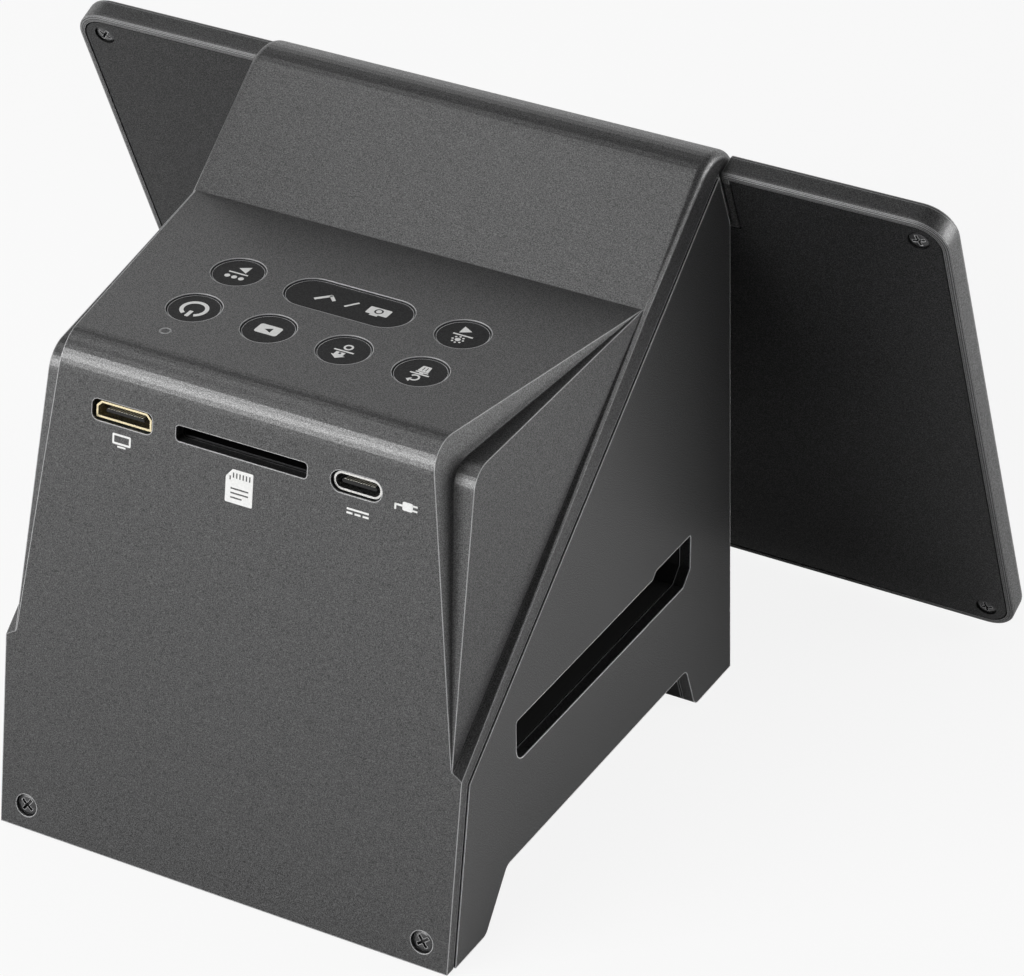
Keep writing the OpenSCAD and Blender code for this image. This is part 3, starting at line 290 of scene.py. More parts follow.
soft_lamp("key", place=(0.42, 0.95, 0.50), size=(0.9, 0.6), watts=11.0, aim=(0, 0.02, 0.09))
soft_lamp("over_ramp", place=(0.19, 0.10, 0.52), size=(0.36, 0.20), watts=0.36,
          aim=(0, -0.015, 0.10))
soft_lamp("low_side", place=(-0.80, -0.50, 0.22), size=(0.6, 0.40), watts=3.6, aim=(0, 0, 0.05))
soft_lamp("on_the_sweep", place=(-0.40, -0.05, 0.22), size=(0.4, 0.4), watts=3.5,
          aim=(-0.75, -0.05, 0))

# %% [markdown]
# ## Shared surface effects
# Three effects come back on many parts, so each is built once as a node group and placed in each
# material with its own numbers. *Moulded grain* is the fine spark-eroded texture of a plastic
# mould. *Drift* is the slow change of tone that any moulding has. *Bright edge* finds the outer
# corners and rounds their normals, as a mould's edge radius would. Its mask is where a pale tone
# is painted on: a painted highlight in place of the light that such a rounded corner catches.

# %% Group helper
def new_group(name, inputs, outputs):
    """A group with its inputs (label, kind, value) and outputs (label, kind)."""
    group = bpy.data.node_groups.new(name, "ShaderNodeTree")
    for label, kind, value in inputs:
        socket = group.interface.new_socket(label, in_out="INPUT", socket_type="NodeSocket" + kind)
        socket.default_value = value
    for label, kind in outputs:
        group.interface.new_socket(label, in_out="OUTPUT", socket_type="NodeSocket" + kind)
    given = group.nodes.new("NodeGroupInput").outputs
    return group, given, group.nodes.new("NodeGroupOutput")


print("group helper ready")

# %% Moulded grain
# a noise rarely leaves this range, so the mask stretches it to about 0..1
GRAIN_LOW = 0.36
GRAIN_HIGH = 0.64
# the pits are laid out about twice as wide as the fine grain
PIT_SCALE = 0.45


def make_grain():
    group, given, out = new_group(
        "moulded_grain",
        [("Scale", "Float", 2400.0), ("Coarse", "Float", 0.35)],
        [("Height", "Float"), ("Mask", "Float")])
    place = add_node(group, "TexCoord").outputs["Object"]
    fine = add_node(group, "TexNoise", {"Vector": place, "Scale": given["Scale"], "Detail": 3.0,
                                        "Roughness": 0.65}).outputs["Fac"]
    pit_scale = reckon(group, "MULTIPLY", given["Scale"], PIT_SCALE)
    pits = add_node(group, "TexVoronoi", {"Vector": place, "Scale": pit_scale})
    height = add_node(group, "Mix", {"Factor": given["Coarse"], "A": fine,
                                     "B": pits.outputs["Distance"]})
    crisp = add_node(group, "MapRange", {"Value": fine, "From Min": GRAIN_LOW,
                                         "From Max": GRAIN_HIGH})
    fill(group, out, {"Height": height.outputs["Result"], "Mask": crisp.outputs["Result"]})
    return group


GRAIN = make_grain()
print("grain:", len(GRAIN.nodes), "nodes")


# %% Drift of tone
def make_drift():
    group, given, out = new_group(
        "drift",
        [("Color", "Color", (0.1, 0.1, 0.1, 1)), ("Scale", "Float", 18.0),
         ("Amount", "Float", 0.06), ("Grain", "Float", 0.5), ("Grain Amount", "Float", 0.1)],
        [("Color", "Color")])
    place = add_node(group, "TexCoord").outputs["Object"]
    slow = add_node(group, "TexNoise", {"Vector": place, "Scale": given["Scale"], "Detail": 2.0})

    def swing(source, amount):
        """A change about 0, as wide as the amount, while the source goes from 0 to 1."""
        return reckon(group, "MULTIPLY", reckon(group, "SUBTRACT", source, 0.5), amount)

    change = reckon(group, "ADD", swing(slow.outputs["Fac"], given["Amount"]),
                    swing(given["Grain"], given["Grain Amount"]))
    tint = add_node(group, "Mix", {"Factor": 1.0, "A": given["Color"],
                                   "B": reckon(group, "ADD", change, 1.0)},
                    data_type="RGBA", blend_type="MULTIPLY")
    fill(group, out, {"Color": tint.outputs["Result"]})
    return group


DRIFT = make_drift()
print("drift:", len(DRIFT.nodes), "nodes")

# %% [markdown]
# ## Finding the edges
# The CAD solids have knife edges, but no moulding has. A bevel on every edge of a copy would
# work, yet it fails on short edges and doubles the mesh. The Bevel node instead rounds the
# normals close to an edge while the material renders. To know which edges stick out, an occlusion
# node looks into the wall from inside: near an outer corner it soon meets the other face, but
# near an inner corner it never does.

# %% Bright edge
EDGE_SAMPLES = 4
EDGE_GAIN = 8.0


def make_bright_edge():
    group, given, out = new_group(
        "bright_edge",
        [("Radius", "Float", 0.3 * MM), ("Softness", "Float", 0.5 * MM)],
        [("Edge", "Float"), ("Normal", "Vector")])
    round_off = add_node(group, "Bevel", {"Radius": given["Softness"]}, samples=EDGE_SAMPLES)
    look_in = add_node(group, "AmbientOcclusion", {"Distance": given["Radius"]}, inside=True,
                       only_local=True, samples=EDGE_SAMPLES)
    met = reckon(group, "SUBTRACT", 1.0, look_in.outputs["AO"])
    edge = reckon(group, "MULTIPLY", met, EDGE_GAIN, clamp=True)
    fill(group, out, {"Edge": edge, "Normal": round_off.outputs["Normal"]})
    return group


BRIGHT_EDGE = make_bright_edge()
print("groups:", [g.name for g in bpy.data.node_groups])


# %% [markdown]
# ## The recipe for a finish
# Nearly every face of the scanner is moulded plastic, so one recipe makes all the plastics: a
# dark tone that drifts a little, a grain that breaks up the gloss, a low bump that catches the
# lamps, and a pale tone painted on the edges as a highlight. Metals use the same recipe with their
# own numbers. One place needs more: the bezel's notch lies behind the hood, where little light
# gets in, so it gets painted shade, black and dull.

# %% Parts of the recipe
# painted shade: the near-black tone laid on the bezel's notch behind the hood, where little light
# reaches
NOTCH_SHADE_TONE = (0.003, 0.003, 0.003, 1)
DULL_ROUGH = 0.95


def spread(tree, mask, middle, swing):
    """A value that follows a mask, from half a swing under its middle to half a swing over."""
    node = add_node(tree, "MapRange", {"Value": mask, "To Min": middle - swing / 2,
                                       "To Max": middle + swing / 2})
    return node.outputs["Result"]


def paint_notch_shade(tree, tone, gloss, half_width, middle_up, half_up, back):
    """The tone and gloss, with painted shade, black and dull, in the middle of the bezel, where
    the
    hood covers it and little light reaches: within a width and a height band, and behind a plane,
    all in mm."""
    place = add_node(tree, "TexCoord").outputs["Object"]
    split = add_node(tree, "SeparateXYZ", {0: place}).outputs
    depth = add_node(tree, "VectorMath", {0: place, 1: SCREEN_OUT}, operation="DOT_PRODUCT")
    near = reckon(tree, "LESS_THAN", reckon(tree, "ABSOLUTE", split["X"]), half_width * MM)
    level = reckon(tree, "COMPARE", split["Z"], middle_up * MM, half_up * MM)
    behind = reckon(tree, "GREATER_THAN", depth.outputs["Value"], back * MM)
    # the mask of the painted shade: within the width, within the height band and behind the plane
    shade_mask = reckon(tree, "MULTIPLY", reckon(tree, "MULTIPLY", near, level), behind)
    matt = add_node(tree, "Mix", {"Factor": shade_mask, "A": gloss, "B": DULL_ROUGH})
    return blend_tones(tree, shade_mask, tone, NOTCH_SHADE_TONE), matt.outputs["Result"]


print("recipe parts ready")

# %% Recipe
# painted highlight: the pale tone blended into outer edges, in place of the light their rounding
# would catch
EDGE_HIGHLIGHT_TONE = (0.88, 0.88, 0.89, 1)
BUMP_DEPTH = 0.04 * MM
COAT_ROUGH = 0.3


def finish(name, color, rough, grain_scale=3000.0, grain_bump=0.6, grain_tone=0.5,
           rough_swing=0.10, metal=0.0, coat=0.0, coat_swing=0.0, ior=1.5, edge=0.0,
           highlight_share=0.8, soft=0.3, notch_shade=None):
    """A full finish. The swings say how far the grain moves the roughness and the coat. edge and
    soft are radii in mm: how far from an outer corner a pale tone is painted on as a highlight,
    and how far its normals are rounded. The edge's share sets how strong that painted highlight
    is."""
    mat = bpy.data.materials.new(name)
    mat.use_nodes = True
    tree = mat.node_tree
    grain = add_node(tree, "Group", {"Scale": grain_scale}, node_tree=GRAIN).outputs
    tone = add_node(tree, "Group", {"Color": (*color, 1), "Grain": grain["Mask"],
                                    "Grain Amount": grain_tone},
                    node_tree=DRIFT).outputs["Color"]
    gloss = spread(tree, grain["Mask"], rough, rough_swing)
    bump = add_node(tree, "Bump", {"Strength": grain_bump, "Distance": BUMP_DEPTH,
                                   "Height": grain["Height"]})
    if edge:
        corner = add_node(tree, "Group", {"Radius": edge * MM, "Softness": soft * MM},
                          node_tree=BRIGHT_EDGE).outputs
        # painted highlight: the edge mask blends the pale tone into the base colour
        share = reckon(tree, "MULTIPLY", corner["Edge"], highlight_share)
        tone = blend_tones(tree, share, tone, EDGE_HIGHLIGHT_TONE)
        fill(tree, bump, {"Normal": corner["Normal"]})
    # painted shade on the bezel's notch, where the finish asks for it
    if notch_shade:
        tone, gloss = paint_notch_shade(tree, tone, gloss, **notch_shade)
    if coat_swing:
        coat = spread(tree, grain["Mask"], coat, coat_swing)
    fill(tree, tree.nodes["Principled BSDF"], {
        "Base Color": tone, "Roughness": gloss, "Metallic": metal, "IOR": ior,
        "Coat Weight": coat, "Coat Roughness": COAT_ROUGH, "Normal": bump.outputs["Normal"]})
    return mat


# %% [markdown]
# ## The finishes
# The shell and the cover are the same dark satin plastic. The screen's housing is a little darker
# and less glossy. Inner parts are finished too, because the scanner can be opened or cut open in
# a later picture.

# %% Finishes
SHELL_TONE = (0.024, 0.024, 0.0245)
HOUSING_TONE = (0.010, 0.010, 0.0105)
MOULDED = dict(grain_scale=5400, grain_bump=1.0, grain_tone=2.0)
HOUSING = dict(MOULDED, rough=0.38, ior=1.34, coat=0.3, coat_swing=1.6)
SATIN = dict(MOULDED, rough=0.36, ior=1.62, coat=0.6, coat_swing=2.0)
# the bezel's notch, in mm: half its width, the height of its middle, half its height, and the
# plane it lies behind, measured from the origin along the way the screen's back faces
NOTCH = dict(half_width=52, middle_up=97.0, half_up=6.6, back=-66.5)
# edge sets how far from each outer edge a highlight is painted, and its share sets how strong it
# is
FIN = {
    "shell": finish("shell_satin", SHELL_TONE, **SATIN, edge=0.20, highlight_share=1.0, soft=0.5),
    "cover": finish("cover_satin", SHELL_TONE, **SATIN, edge=0.18, highlight_share=0.5, soft=0.4),
    "base": finish("base_plain", (0.022, 0.022, 0.023), 0.42, edge=0.25, highlight_share=0.6),
    "rubber": finish("pad_rubber", (0.02, 0.02, 0.02), 0.85, grain_scale=1200, grain_bump=0.5),
    "screw": finish("zinc_steel", (0.55, 0.55, 0.57), 0.32, metal=1.0, grain_bump=0.1,
                    grain_tone=0.12),
    "dark_screw": finish("black_steel", (0.02, 0.02, 0.021), 0.17, coat=1.0, grain_bump=0.1,
                         grain_tone=0.2, edge=0.12, highlight_share=0.5),
    "black_inner": finish("light_trap_black", (0.010, 0.010, 0.010), 0.8, grain_scale=1500),
    "white_inner": finish("lamp_white", (0.78, 0.78, 0.76), 0.7, grain_scale=1500,
                          grain_tone=0.1),
    "board": finish("board_green", (0.015, 0.12, 0.05), 0.35, coat=0.3, grain_scale=900),
    "socket": finish("nickel_shell", (0.80, 0.79, 0.77), 0.3, metal=1.0, grain_bump=0.08,
                     grain_tone=0.12),
    "gold_socket": finish("gold_shell", (0.95, 0.83, 0.55), 0.3, metal=1.0, grain_bump=0.08,
                          grain_tone=0.12),
    "contact": finish("contact_plate", (0.9, 0.87, 0.78), 0.5, metal=1.0, grain_bump=0.05,
                      grain_tone=0.1),
    "switch": finish("switch_nylon", (0.03, 0.03, 0.03), 0.6),
    "button": finish("button_black", (0.007, 0.007, 0.0075), 0.45, ior=1.3, grain_scale=5000,
                     grain_tone=1.5, coat=0.1, coat_swing=0.3, edge=0.16, highlight_share=0.8),
    "hinge": finish("pressed_steel", (0.48, 0.48, 0.5), 0.36, metal=1.0, grain_bump=0.12,
                    grain_tone=0.12),
    # the bezel carries painted shade on its notch behind the hood
    "bezel": finish("bezel_satin", SHELL_TONE, **SATIN, edge=0.14, highlight_share=0.3, soft=1.6,
                    notch_shade=NOTCH),
    "screen_back": finish("back_satin", HOUSING_TONE, **HOUSING),
    "display": finish("display_frame", (0.02, 0.02, 0.022), 0.5),
    "lamp": finish("smoked_lamp", (0.05, 0.05, 0.051), 0.3, edge=0.15, highlight_share=0.4),
    # painted shade: a near-black metal for the cage deep inside the card slot
    "cage": finish("cage_painted_dark", (0.05, 0.05, 0.052), 0.45, metal=1.0, grain_bump=0.1,
                   grain_tone=0.3),
    "ink": finish("print_white", (0.74, 0.74, 0.73), 0.5, grain_tone=0.12, grain_bump=0.1),
}


def clear_finish(name, color, rough, weight):
    """Glass-like plastic: the grain only touches its gloss."""
    mat = finish(name, color, rough, grain_bump=0.02, rough_swing=0.04, grain_tone=0.05)
    tree = mat.node_tree
    fill(tree, tree.nodes["Principled BSDF"], {"Transmission Weight": weight})
    return mat


FIN["diffuser"] = clear_finish("milky_sheet", (0.92, 0.92, 0.9), 0.5, weight=0.5)
FIN["lens"] = clear_finish("coated_lens", (0.75, 0.85, 0.95), 0.03, weight=1.0)
print(len(FIN), "finishes")

# %% [markdown]
# ## The front glass
# A switched-off screen is one sheet of dark glass, but the picture area below it shows as a
# slightly greyer rectangle inside a black printed border. The border could be a separate sheet,
# but nothing can lie inside a solid sheet of glass, so the finish itself draws it. The glass
# leans, so the coordinates are first turned upright by a Mapping node.

# %% Glass with a printed border
glass_low, glass_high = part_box("screen_glass")
GLASS_MIDDLE = (Vector(glass_low) + Vector(glass_high)) / 2
# a leaning sheet's box is taller than its face, because its thickness leans too
THICKNESS_RISE = 0.8 * MM
GLASS_UP_SPAN = (glass_high[2] - glass_low[2] - THICKNESS_RISE) / math.cos(SCREEN_LEAN)
GLASS_WIDTH = glass_high[0] - glass_low[0]
BORDER = 4.0 * MM
BORDER_TONE = (0.002, 0.002, 0.002, 1)
PICTURE_TONE = (0.008, 0.009, 0.011, 1)


def make_glass():
    mat = finish("dark_glass", (0.006, 0.006, 0.007), 0.05, grain_bump=0.004, rough_swing=0.01,
                 coat=1.0)
    tree = mat.node_tree
    place = add_node(tree, "TexCoord").outputs["Object"]
    upright = add_node(tree, "Mapping", {"Vector": place, "Location": GLASS_MIDDLE,
                                         "Rotation": (-SCREEN_LEAN, 0, 0)},
                       vector_type="TEXTURE").outputs["Vector"]
    flat = add_node(tree, "SeparateXYZ", {"Vector": upright}).outputs
    within = [reckon(tree, "LESS_THAN", reckon(tree, "ABSOLUTE", flat[axis]), span / 2 - BORDER)
              for axis, span in (("X", GLASS_WIDTH), ("Z", GLASS_UP_SPAN))]
    tone = blend_tones(tree, reckon(tree, "MULTIPLY", *within), BORDER_TONE, PICTURE_TONE)
    fill(tree, tree.nodes["Principled BSDF"], {"Base Color": tone})
    return mat


FIN["screen_glass"] = make_glass()
print("picture area about", round((GLASS_UP_SPAN - 2 * BORDER) / MM, 1), "mm high")

# %% [markdown]
# ## Dressing the CAD nodes
# Each node of the frame names the slot that its finish comes from. The card reader's cage is the
# one exception: it sits deep in its slot, so it gets a near-black metal, painted shade for the
# dark inside of the slot, in place of the bright metal of the other sockets.
# Only the slot's material changes: the node's mesh stays as it was packed.

# %% Give every CAD node its finish
slot_of = {s["node"]: s["material_slot"] for s in frame["record"]["subparts"]}
for node, obj in frame["nodes"].items():
    # the card cage takes that near-black metal: painted shade inside the card slot
    mat = FIN["cage" if node == "card_socket" else slot_of[node]]
    if obj.material_slots:
        for slot in obj.material_slots:
            slot.material = mat
    else:
        obj.data.materials.append(mat)
print(len(frame["nodes"]), "nodes finished")

# %% [markdown]
# ## Helpers for small pieces
# Signs, socket tongues and screws are all small closed solids, so they share a few helpers. A
# flat sign could be an image on the surface, but a real print stands a few hundredths of a
# millimetre proud, and a thin solid keeps its crisp edge at any size. Each helper draws in
# millimetres in its own flat frame: X to the reader's right, Y up, Z out of the surface.

# %% Flat shapes
INK_PROUD = 0.03
ROUND_STEPS = 40


def moved(x, y, turn=0.0):
    return Matrix.Translation((x, y, 0)) @ Matrix.Rotation(math.radians(turn), 4, "Z")


def round_corners(bm, radius, steps):
    bmesh.ops.bevel(bm, geom=list(bm.verts), offset=radius, affect="VERTICES", segments=steps,
                    profile=0.5, material=-1)


def bar(w, h, x=0, y=0, turn=0.0, corner=0.0):
    """A flat bar, with its corners rounded if a radius is given."""
    bm = bmesh.new()
    bmesh.ops.create_grid(bm, x_segments=1, y_segments=1, size=0.5)
    bmesh.ops.scale(bm, verts=bm.verts, vec=(w, h, 1))
    if corner:
        round_corners(bm, corner, steps=5)
    bmesh.ops.transform(bm, verts=bm.verts, matrix=moved(x, y, turn))
    return bm


def disc(r, x=0, y=0, sides=ROUND_STEPS):
    bm = bmesh.new()
    bmesh.ops.create_circle(bm, cap_ends=True, segments=sides, radius=r)
    bmesh.ops.transform(bm, verts=bm.verts, matrix=moved(x, y))
    return bm


def ring(r_out, r_in, x=0, y=0, start=0.0, sweep=360.0):
    """A ring, or an arc of one: a short radial edge spun about the middle."""
    bm = bmesh.new()
    a, b = bm.verts.new((r_in, 0, 0)), bm.verts.new((r_out, 0, 0))
    edge = bm.edges.new((a, b))
    bmesh.ops.rotate(bm, verts=bm.verts, matrix=Matrix.Rotation(math.radians(start), 3, "Z"))
    bmesh.ops.spin(bm, geom=[a, b, edge], cent=(0, 0, 0), axis=(0, 0, 1),
                   angle=math.radians(sweep), steps=ROUND_STEPS, use_merge=sweep == 360.0)
    bmesh.ops.transform(bm, verts=bm.verts, matrix=moved(x, y))
    return bm


def outline(points, x=0, y=0):
    """A flat face with a few straight sides, such as an arrow or a roof."""
    bm = bmesh.new()
    bm.faces.new([bm.verts.new((px + x, py + y, 0)) for px, py in points])
    return bm


def add_all(whole, shapes):
    """Add each shape's mesh to the whole, and let the shape go."""
    for shape in shapes:
        mesh = bpy.data.meshes.new("shape")
        shape.to_mesh(mesh)
        shape.free()
        whole.from_mesh(mesh)
        bpy.data.meshes.remove(mesh)


def pierced(plate, *holes):
    """A plate with holes: only the outlines are kept, and the face is filled between them."""
    add_all(plate, holes)
    bmesh.ops.delete(plate, geom=list(plate.faces), context="FACES_ONLY")
    bmesh.ops.triangle_fill(plate, edges=list(plate.edges), use_beauty=True)
    return plate


# %% From flat shapes to pieces
def thick(bm, z0=-INK_PROUD, z1=INK_PROUD):
    """Turn a flat shape into a closed plate from z0 to z1."""
    bmesh.ops.translate(bm, verts=bm.verts, vec=(0, 0, z0))
    grown = bmesh.ops.extrude_face_region(bm, geom=list(bm.faces), use_keep_orig=True)
    tops = [g for g in grown["geom"] if isinstance(g, bmesh.types.BMVert)]
    bmesh.ops.translate(bm, verts=tops, vec=(0, 0, z1 - z0))
    bmesh.ops.recalc_face_normals(bm, faces=bm.faces)
    return bm


def make_piece(name, solids, place, slot, body="root", finish_name=None):
    """Join closed solids drawn in one frame, put them in place and let them ride on a body."""
    whole = bmesh.new()
    add_all(whole, solids)
    bmesh.ops.transform(whole, verts=whole.verts, matrix=place)
    mesh = bpy.data.meshes.new(name)
    whole.to_mesh(mesh)
    whole.free()
    piece = bpy.data.objects.new(name, mesh)
    piece.data.materials.append(FIN[finish_name or slot])
    bpy.context.scene.collection.objects.link(piece)
    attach(piece, body)
    return piece


print("helpers ready; a print stands", INK_PROUD, "mm proud")

# %% [markdown]
# ## Signs on the buttons
# Each cap carries a small off-white pad print, read by someone who faces the screen. Two-function
# caps have one sign over a divider and one under it. The signs are plain pictures of what the
# button does: an arrow, a sun, a bin, a house. Words could be drawn with a text object, but the
# rule for this library is signs only.

# %% Signs with one picture
def print_on_cap(node, shapes):
    return make_piece(node + "_print", [thick(s) for s in shapes], on_cap(node), "button",
                      node + "_cap", "ink")


# the ring of the power sign is open at the top, where its bar stands
POWER_GAP = 56
power_ring = ring(2.5, 1.8, start=90 + POWER_GAP / 2, sweep=360 - POWER_GAP)
print_on_cap("power_button", [power_ring, bar(0.72, 1.9, 0, 1.7, corner=0.12)])

play = outline([(-0.62, -0.72), (0.78, 0), (-0.62, 0.72)])
print_on_cap("gallery_button", [pierced(bar(4.3, 2.8, corner=0.5), play)])

# a camera and a tick, with a slash between them
LENS = (-5.65, -0.15)
camera_body = pierced(bar(4.1, 2.2, LENS[0], -0.1, corner=0.22), disc(0.82, *LENS))
camera_sign = [camera_body, disc(0.5, *LENS), bar(1.5, 0.5, -5.35, 1.2)]
slash = [bar(0.42, 2.7, -0.5, 0, turn=-38)]
tick = [bar(0.62, 1.9, 3.4, -0.3, turn=45), bar(0.62, 3.2, 4.95, 0.1, turn=-45)]
print_on_cap("capture_button", camera_sign + slash + tick)
print("one-picture signs printed")

# %% Signs over and under a divider
DIVIDER_W, DIVIDER_H = 3.7, 0.32
SUN_RAYS = 8
RAY_OUT = 0.98


def arrow(x, y, way):
    """A solid arrow head whose point looks to the reader's right (way 1) or left (way -1)."""
    return outline([(-0.63 * way, -1.08 * way), (1.26 * way, 0), (-0.63 * way, 1.08 * way)], x, y)


def sun(x, y):
    """A small disc with round rays about it."""
    ways = [i * 2 * math.pi / SUN_RAYS for i in range(SUN_RAYS)]
    rays = [disc(0.2, x + RAY_OUT * math.cos(a), y + RAY_OUT * math.sin(a), sides=16)
            for a in ways]
    return [disc(0.5, x, y)] + rays


def bin_sign(x, y):
    body = pierced(outline([(-0.8, -1.0), (0.8, -1.0), (1.0, 0.7), (-1.0, 0.7)], x, y),
                   bar(0.16, 1.1, x - 0.3, y - 0.15), bar(0.16, 1.1, x + 0.3, y - 0.15))
    return [body, bar(2.3, 0.26, x, y + 0.98), bar(0.7, 0.22, x, y + 1.24)]


def house(x, y):
    roof = outline([(-1.3, 0.05), (1.3, 0.05), (0, 1.05)], x, y)
    walls = pierced(bar(1.7, 1.0, x, y - 0.5), bar(0.44, 0.6, x, y - 0.62))
    return [roof, walls]


def turn_back(x, y):
    """A short curved arrow."""
    return [ring(0.95, 0.62, x, y, start=60, sweep=270),
            outline([(0.0, -0.55), (0.75, 0.1), (0.0, 0.75)], x + 0.35, y + 0.75)]


def divider(w=DIVIDER_W, y=0):
    return [bar(w, DIVIDER_H, 0, y)]


three_dots = [disc(0.5, dx, 1.4) for dx in (-1.35, 0, 1.35)]
print_on_cap("colour_button", three_dots + divider() + [arrow(-0.45, -1.6, way=1)])
print_on_cap("brightness_button", sun(0.1, 1.55) + divider() + [arrow(0.45, -1.65, way=-1)])
print_on_cap("home_button", house(0.25, 1.5) + divider() + [ring(0.85, 0.5, -0.1, -1.35)])
print_on_cap("delete_button", turn_back(0.2, 1.75) + divider(3.5, 0.45) + bin_sign(-0.1, -1.15))
print("two-picture signs printed")

# %% [markdown]
# ## Signs by the sockets
# The memory card sign is a white card with one clipped corner and a row of contacts, and it
# carries no lettering. The other sockets get simple signs: a screen for the video socket, and the
# usual straight-and-dashed line of direct current with a plug for the power socket.

# %% Card, screen and current signs
CARD_W, CARD_H, CLIP = 5.2, 6.0, 1.25
LABEL_LINE = 0.28
SIGN_LINE = 0.34
# places on the rear face in mm: across, and up the slope
CARD_SIGN_AT = (0, 76.2)
VIDEO_SIGN_AT = (22.9, 78.0)
CURRENT_SIGN_AT = (-22.3, 78.0)
PLUG_SIGN_AT = (-30.8, 81.6)


def print_on_rear(name, shapes, place):
    return make_piece(name, [thick(s) for s in shapes], on_rear(*place), "cover",
                      finish_name="ink")


card = outline([(-CARD_W / 2 + CLIP, CARD_H / 2), (-CARD_W / 2, CARD_H / 2 - CLIP * 1.2),
                (-CARD_W / 2, -CARD_H / 2), (CARD_W / 2, -CARD_H / 2), (CARD_W / 2, CARD_H / 2)])
round_corners(card, 0.22, steps=4)
clipped_contact = bar(0.26, 0.7, -1.77, 1.4)
contacts = [bar(0.26, 0.95, -1.15 + i * 0.62, 1.95) for i in range(6)]
label = [bar(w, LABEL_LINE, x, y) for w, x, y in ((3.4, 0.1, -0.4), (3.4, 0.1, -1.2),
                                                  (2.2, -0.5, -2.0))]
print_on_rear("card_sign", [pierced(card, clipped_contact, *contacts, *label)], CARD_SIGN_AT)

monitor = pierced(bar(3.6, 1.9, 0, 0.35, corner=0.25), bar(2.9, 1.2, 0, 0.35))
print_on_rear("video_sign", [monitor, bar(1.6, 0.3, 0, -0.95)], VIDEO_SIGN_AT)

dashes = [bar(1.1, SIGN_LINE, dx, -0.35) for dx in (-1.5, 0, 1.5)]
print_on_rear("current_sign", [bar(4.1, SIGN_LINE, 0, 0.35)] + dashes, CURRENT_SIGN_AT)

plug_body = bar(1.9, 1.5, 0.5, 0, corner=0.3)
prongs = [bar(1.0, 0.3, 1.8, dy) for dy in (-0.4, 0.4)]
lead = [bar(1.6, SIGN_LINE, -1.1, 0), bar(SIGN_LINE, 1.0, -1.75, -0.4)]
print_on_rear("plug_sign", [plug_body] + prongs + lead, PLUG_SIGN_AT)
print("rear signs printed")

# %% [markdown]
# ## Inside the sockets
# A socket is more than a metal mouth: a black block fills its depth and carries a tongue with a
# row of contacts. A dark material at the back of the shell could hint at them, but light catches
# the tongue's edge, so they are real solids. The contacts are one small bar, repeated.

# %% Where the sockets are
SOCKET_MIDDLE_OUT = 4.3


def middle(node, axis):
    low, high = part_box(node)
    return (low[axis] + high[axis]) / 2


port_row = ((middle("power_socket", 2) / MM + SOCKET_MIDDLE_OUT * math.sin(REAR_LEAN))
            / math.cos(REAR_LEAN))
AT_VIDEO = on_rear(middle("video_socket", 0) / MM, port_row)
AT_POWER = on_rear(middle("power_socket", 0) / MM, port_row)
print("row of ports", round(port_row, 2), "mm up the rear face")

# %% Socket tongues
# depths in mm from the rear face: the block's back, its front, and the tongue's tip
SOCKET_BACK = -6.8
VIDEO_FRONT, VIDEO_TIP = -3.4, -1.0
POWER_FRONT, POWER_TIP = -4.6, -1.1
# the tongue starts a little inside its block, and the contacts stop short of its tip
OVERLAP = 0.1
TIP_LEFT = 0.05
CONTACT_W, CONTACT_T = 0.3, 0.07


def contact_row(count, pitch, y, z0, z1):
    return [thick(bar(CONTACT_W, CONTACT_T, (i - (count - 1) / 2) * pitch, y), z0, z1)
            for i in range(count)]


video_block = outline([(-4.95, -1.05), (4.95, -1.05), (4.95, 0.25), (4.1, 1.05), (-4.1, 1.05),
                       (-4.95, 0.25)])
video_tongue = bar(7.4, 0.55, 0, -0.1)
make_piece("video_core", [thick(video_block, SOCKET_BACK, VIDEO_FRONT),
                          thick(video_tongue, VIDEO_FRONT - OVERLAP, VIDEO_TIP)],
           AT_VIDEO, "switch", finish_name="black_inner")
make_piece("video_contacts",
           contact_row(14, 0.5, 0.2, VIDEO_FRONT + OVERLAP, VIDEO_TIP - TIP_LEFT),
           AT_VIDEO, "gold_socket", finish_name="contact")

power_block = bar(8.1, 2.3, corner=1.14)
power_tongue = bar(6.5, 0.62, 0, -0.15, corner=0.28)
make_piece("power_core", [thick(power_block, SOCKET_BACK, POWER_FRONT),
                          thick(power_tongue, POWER_FRONT - OVERLAP, POWER_TIP)],
           AT_POWER, "switch", finish_name="black_inner")
make_piece("power_contacts",
           contact_row(12, 0.48, 0.19, POWER_FRONT + OVERLAP, POWER_TIP - TIP_LEFT),
           AT_POWER, "socket", finish_name="contact")
print("tongues", round(VIDEO_TIP - VIDEO_FRONT, 2), "and", round(POWER_TIP - POWER_FRONT, 2),
      "mm long")

# %% [markdown]
# ## Screws
# The visible screws are black cross-heads, sunk in round pockets. The whole screw is one profile
# spun about its axis, which gives a domed head, a shank and a point in a single closed skin. The
# cross is cut by a Boolean modifier with two crossed bars, because its tapered slots run into
# each other and would be awkward to inset by hand.

# %% A cross-head screw
SPIN_STEPS = 36
SAME_PLACE = 1e-4
# the cross: its length and width as shares of the head's radius, its depth as one of its thickness
CROSS_LONG, CROSS_WIDE, CROSS_DEEP = 1.3, 0.26, 0.6


def spun(profile):
    """Spin a chain of (radius, height) points about Z into a closed skin."""
    bm = bmesh.new()
    chain = [bm.verts.new((r, 0, z)) for r, z in profile]
    edges = [bm.edges.new(pair) for pair in zip(chain, chain[1:])]
    bmesh.ops.spin(bm, geom=chain + edges, cent=(0, 0, 0), axis=(0, 0, 1),
                   angle=2 * math.pi, steps=SPIN_STEPS, use_merge=True)
    bmesh.ops.remove_doubles(bm, verts=bm.verts, dist=SAME_PLACE)
    bmesh.ops.recalc_face_normals(bm, faces=bm.faces)
    return bm


def as_object(bm, name):
    mesh = bpy.data.meshes.new(name)
    bm.to_mesh(mesh)
    bm.free()
    obj = bpy.data.objects.new(name, mesh)
    bpy.context.scene.collection.objects.link(obj)
    return obj


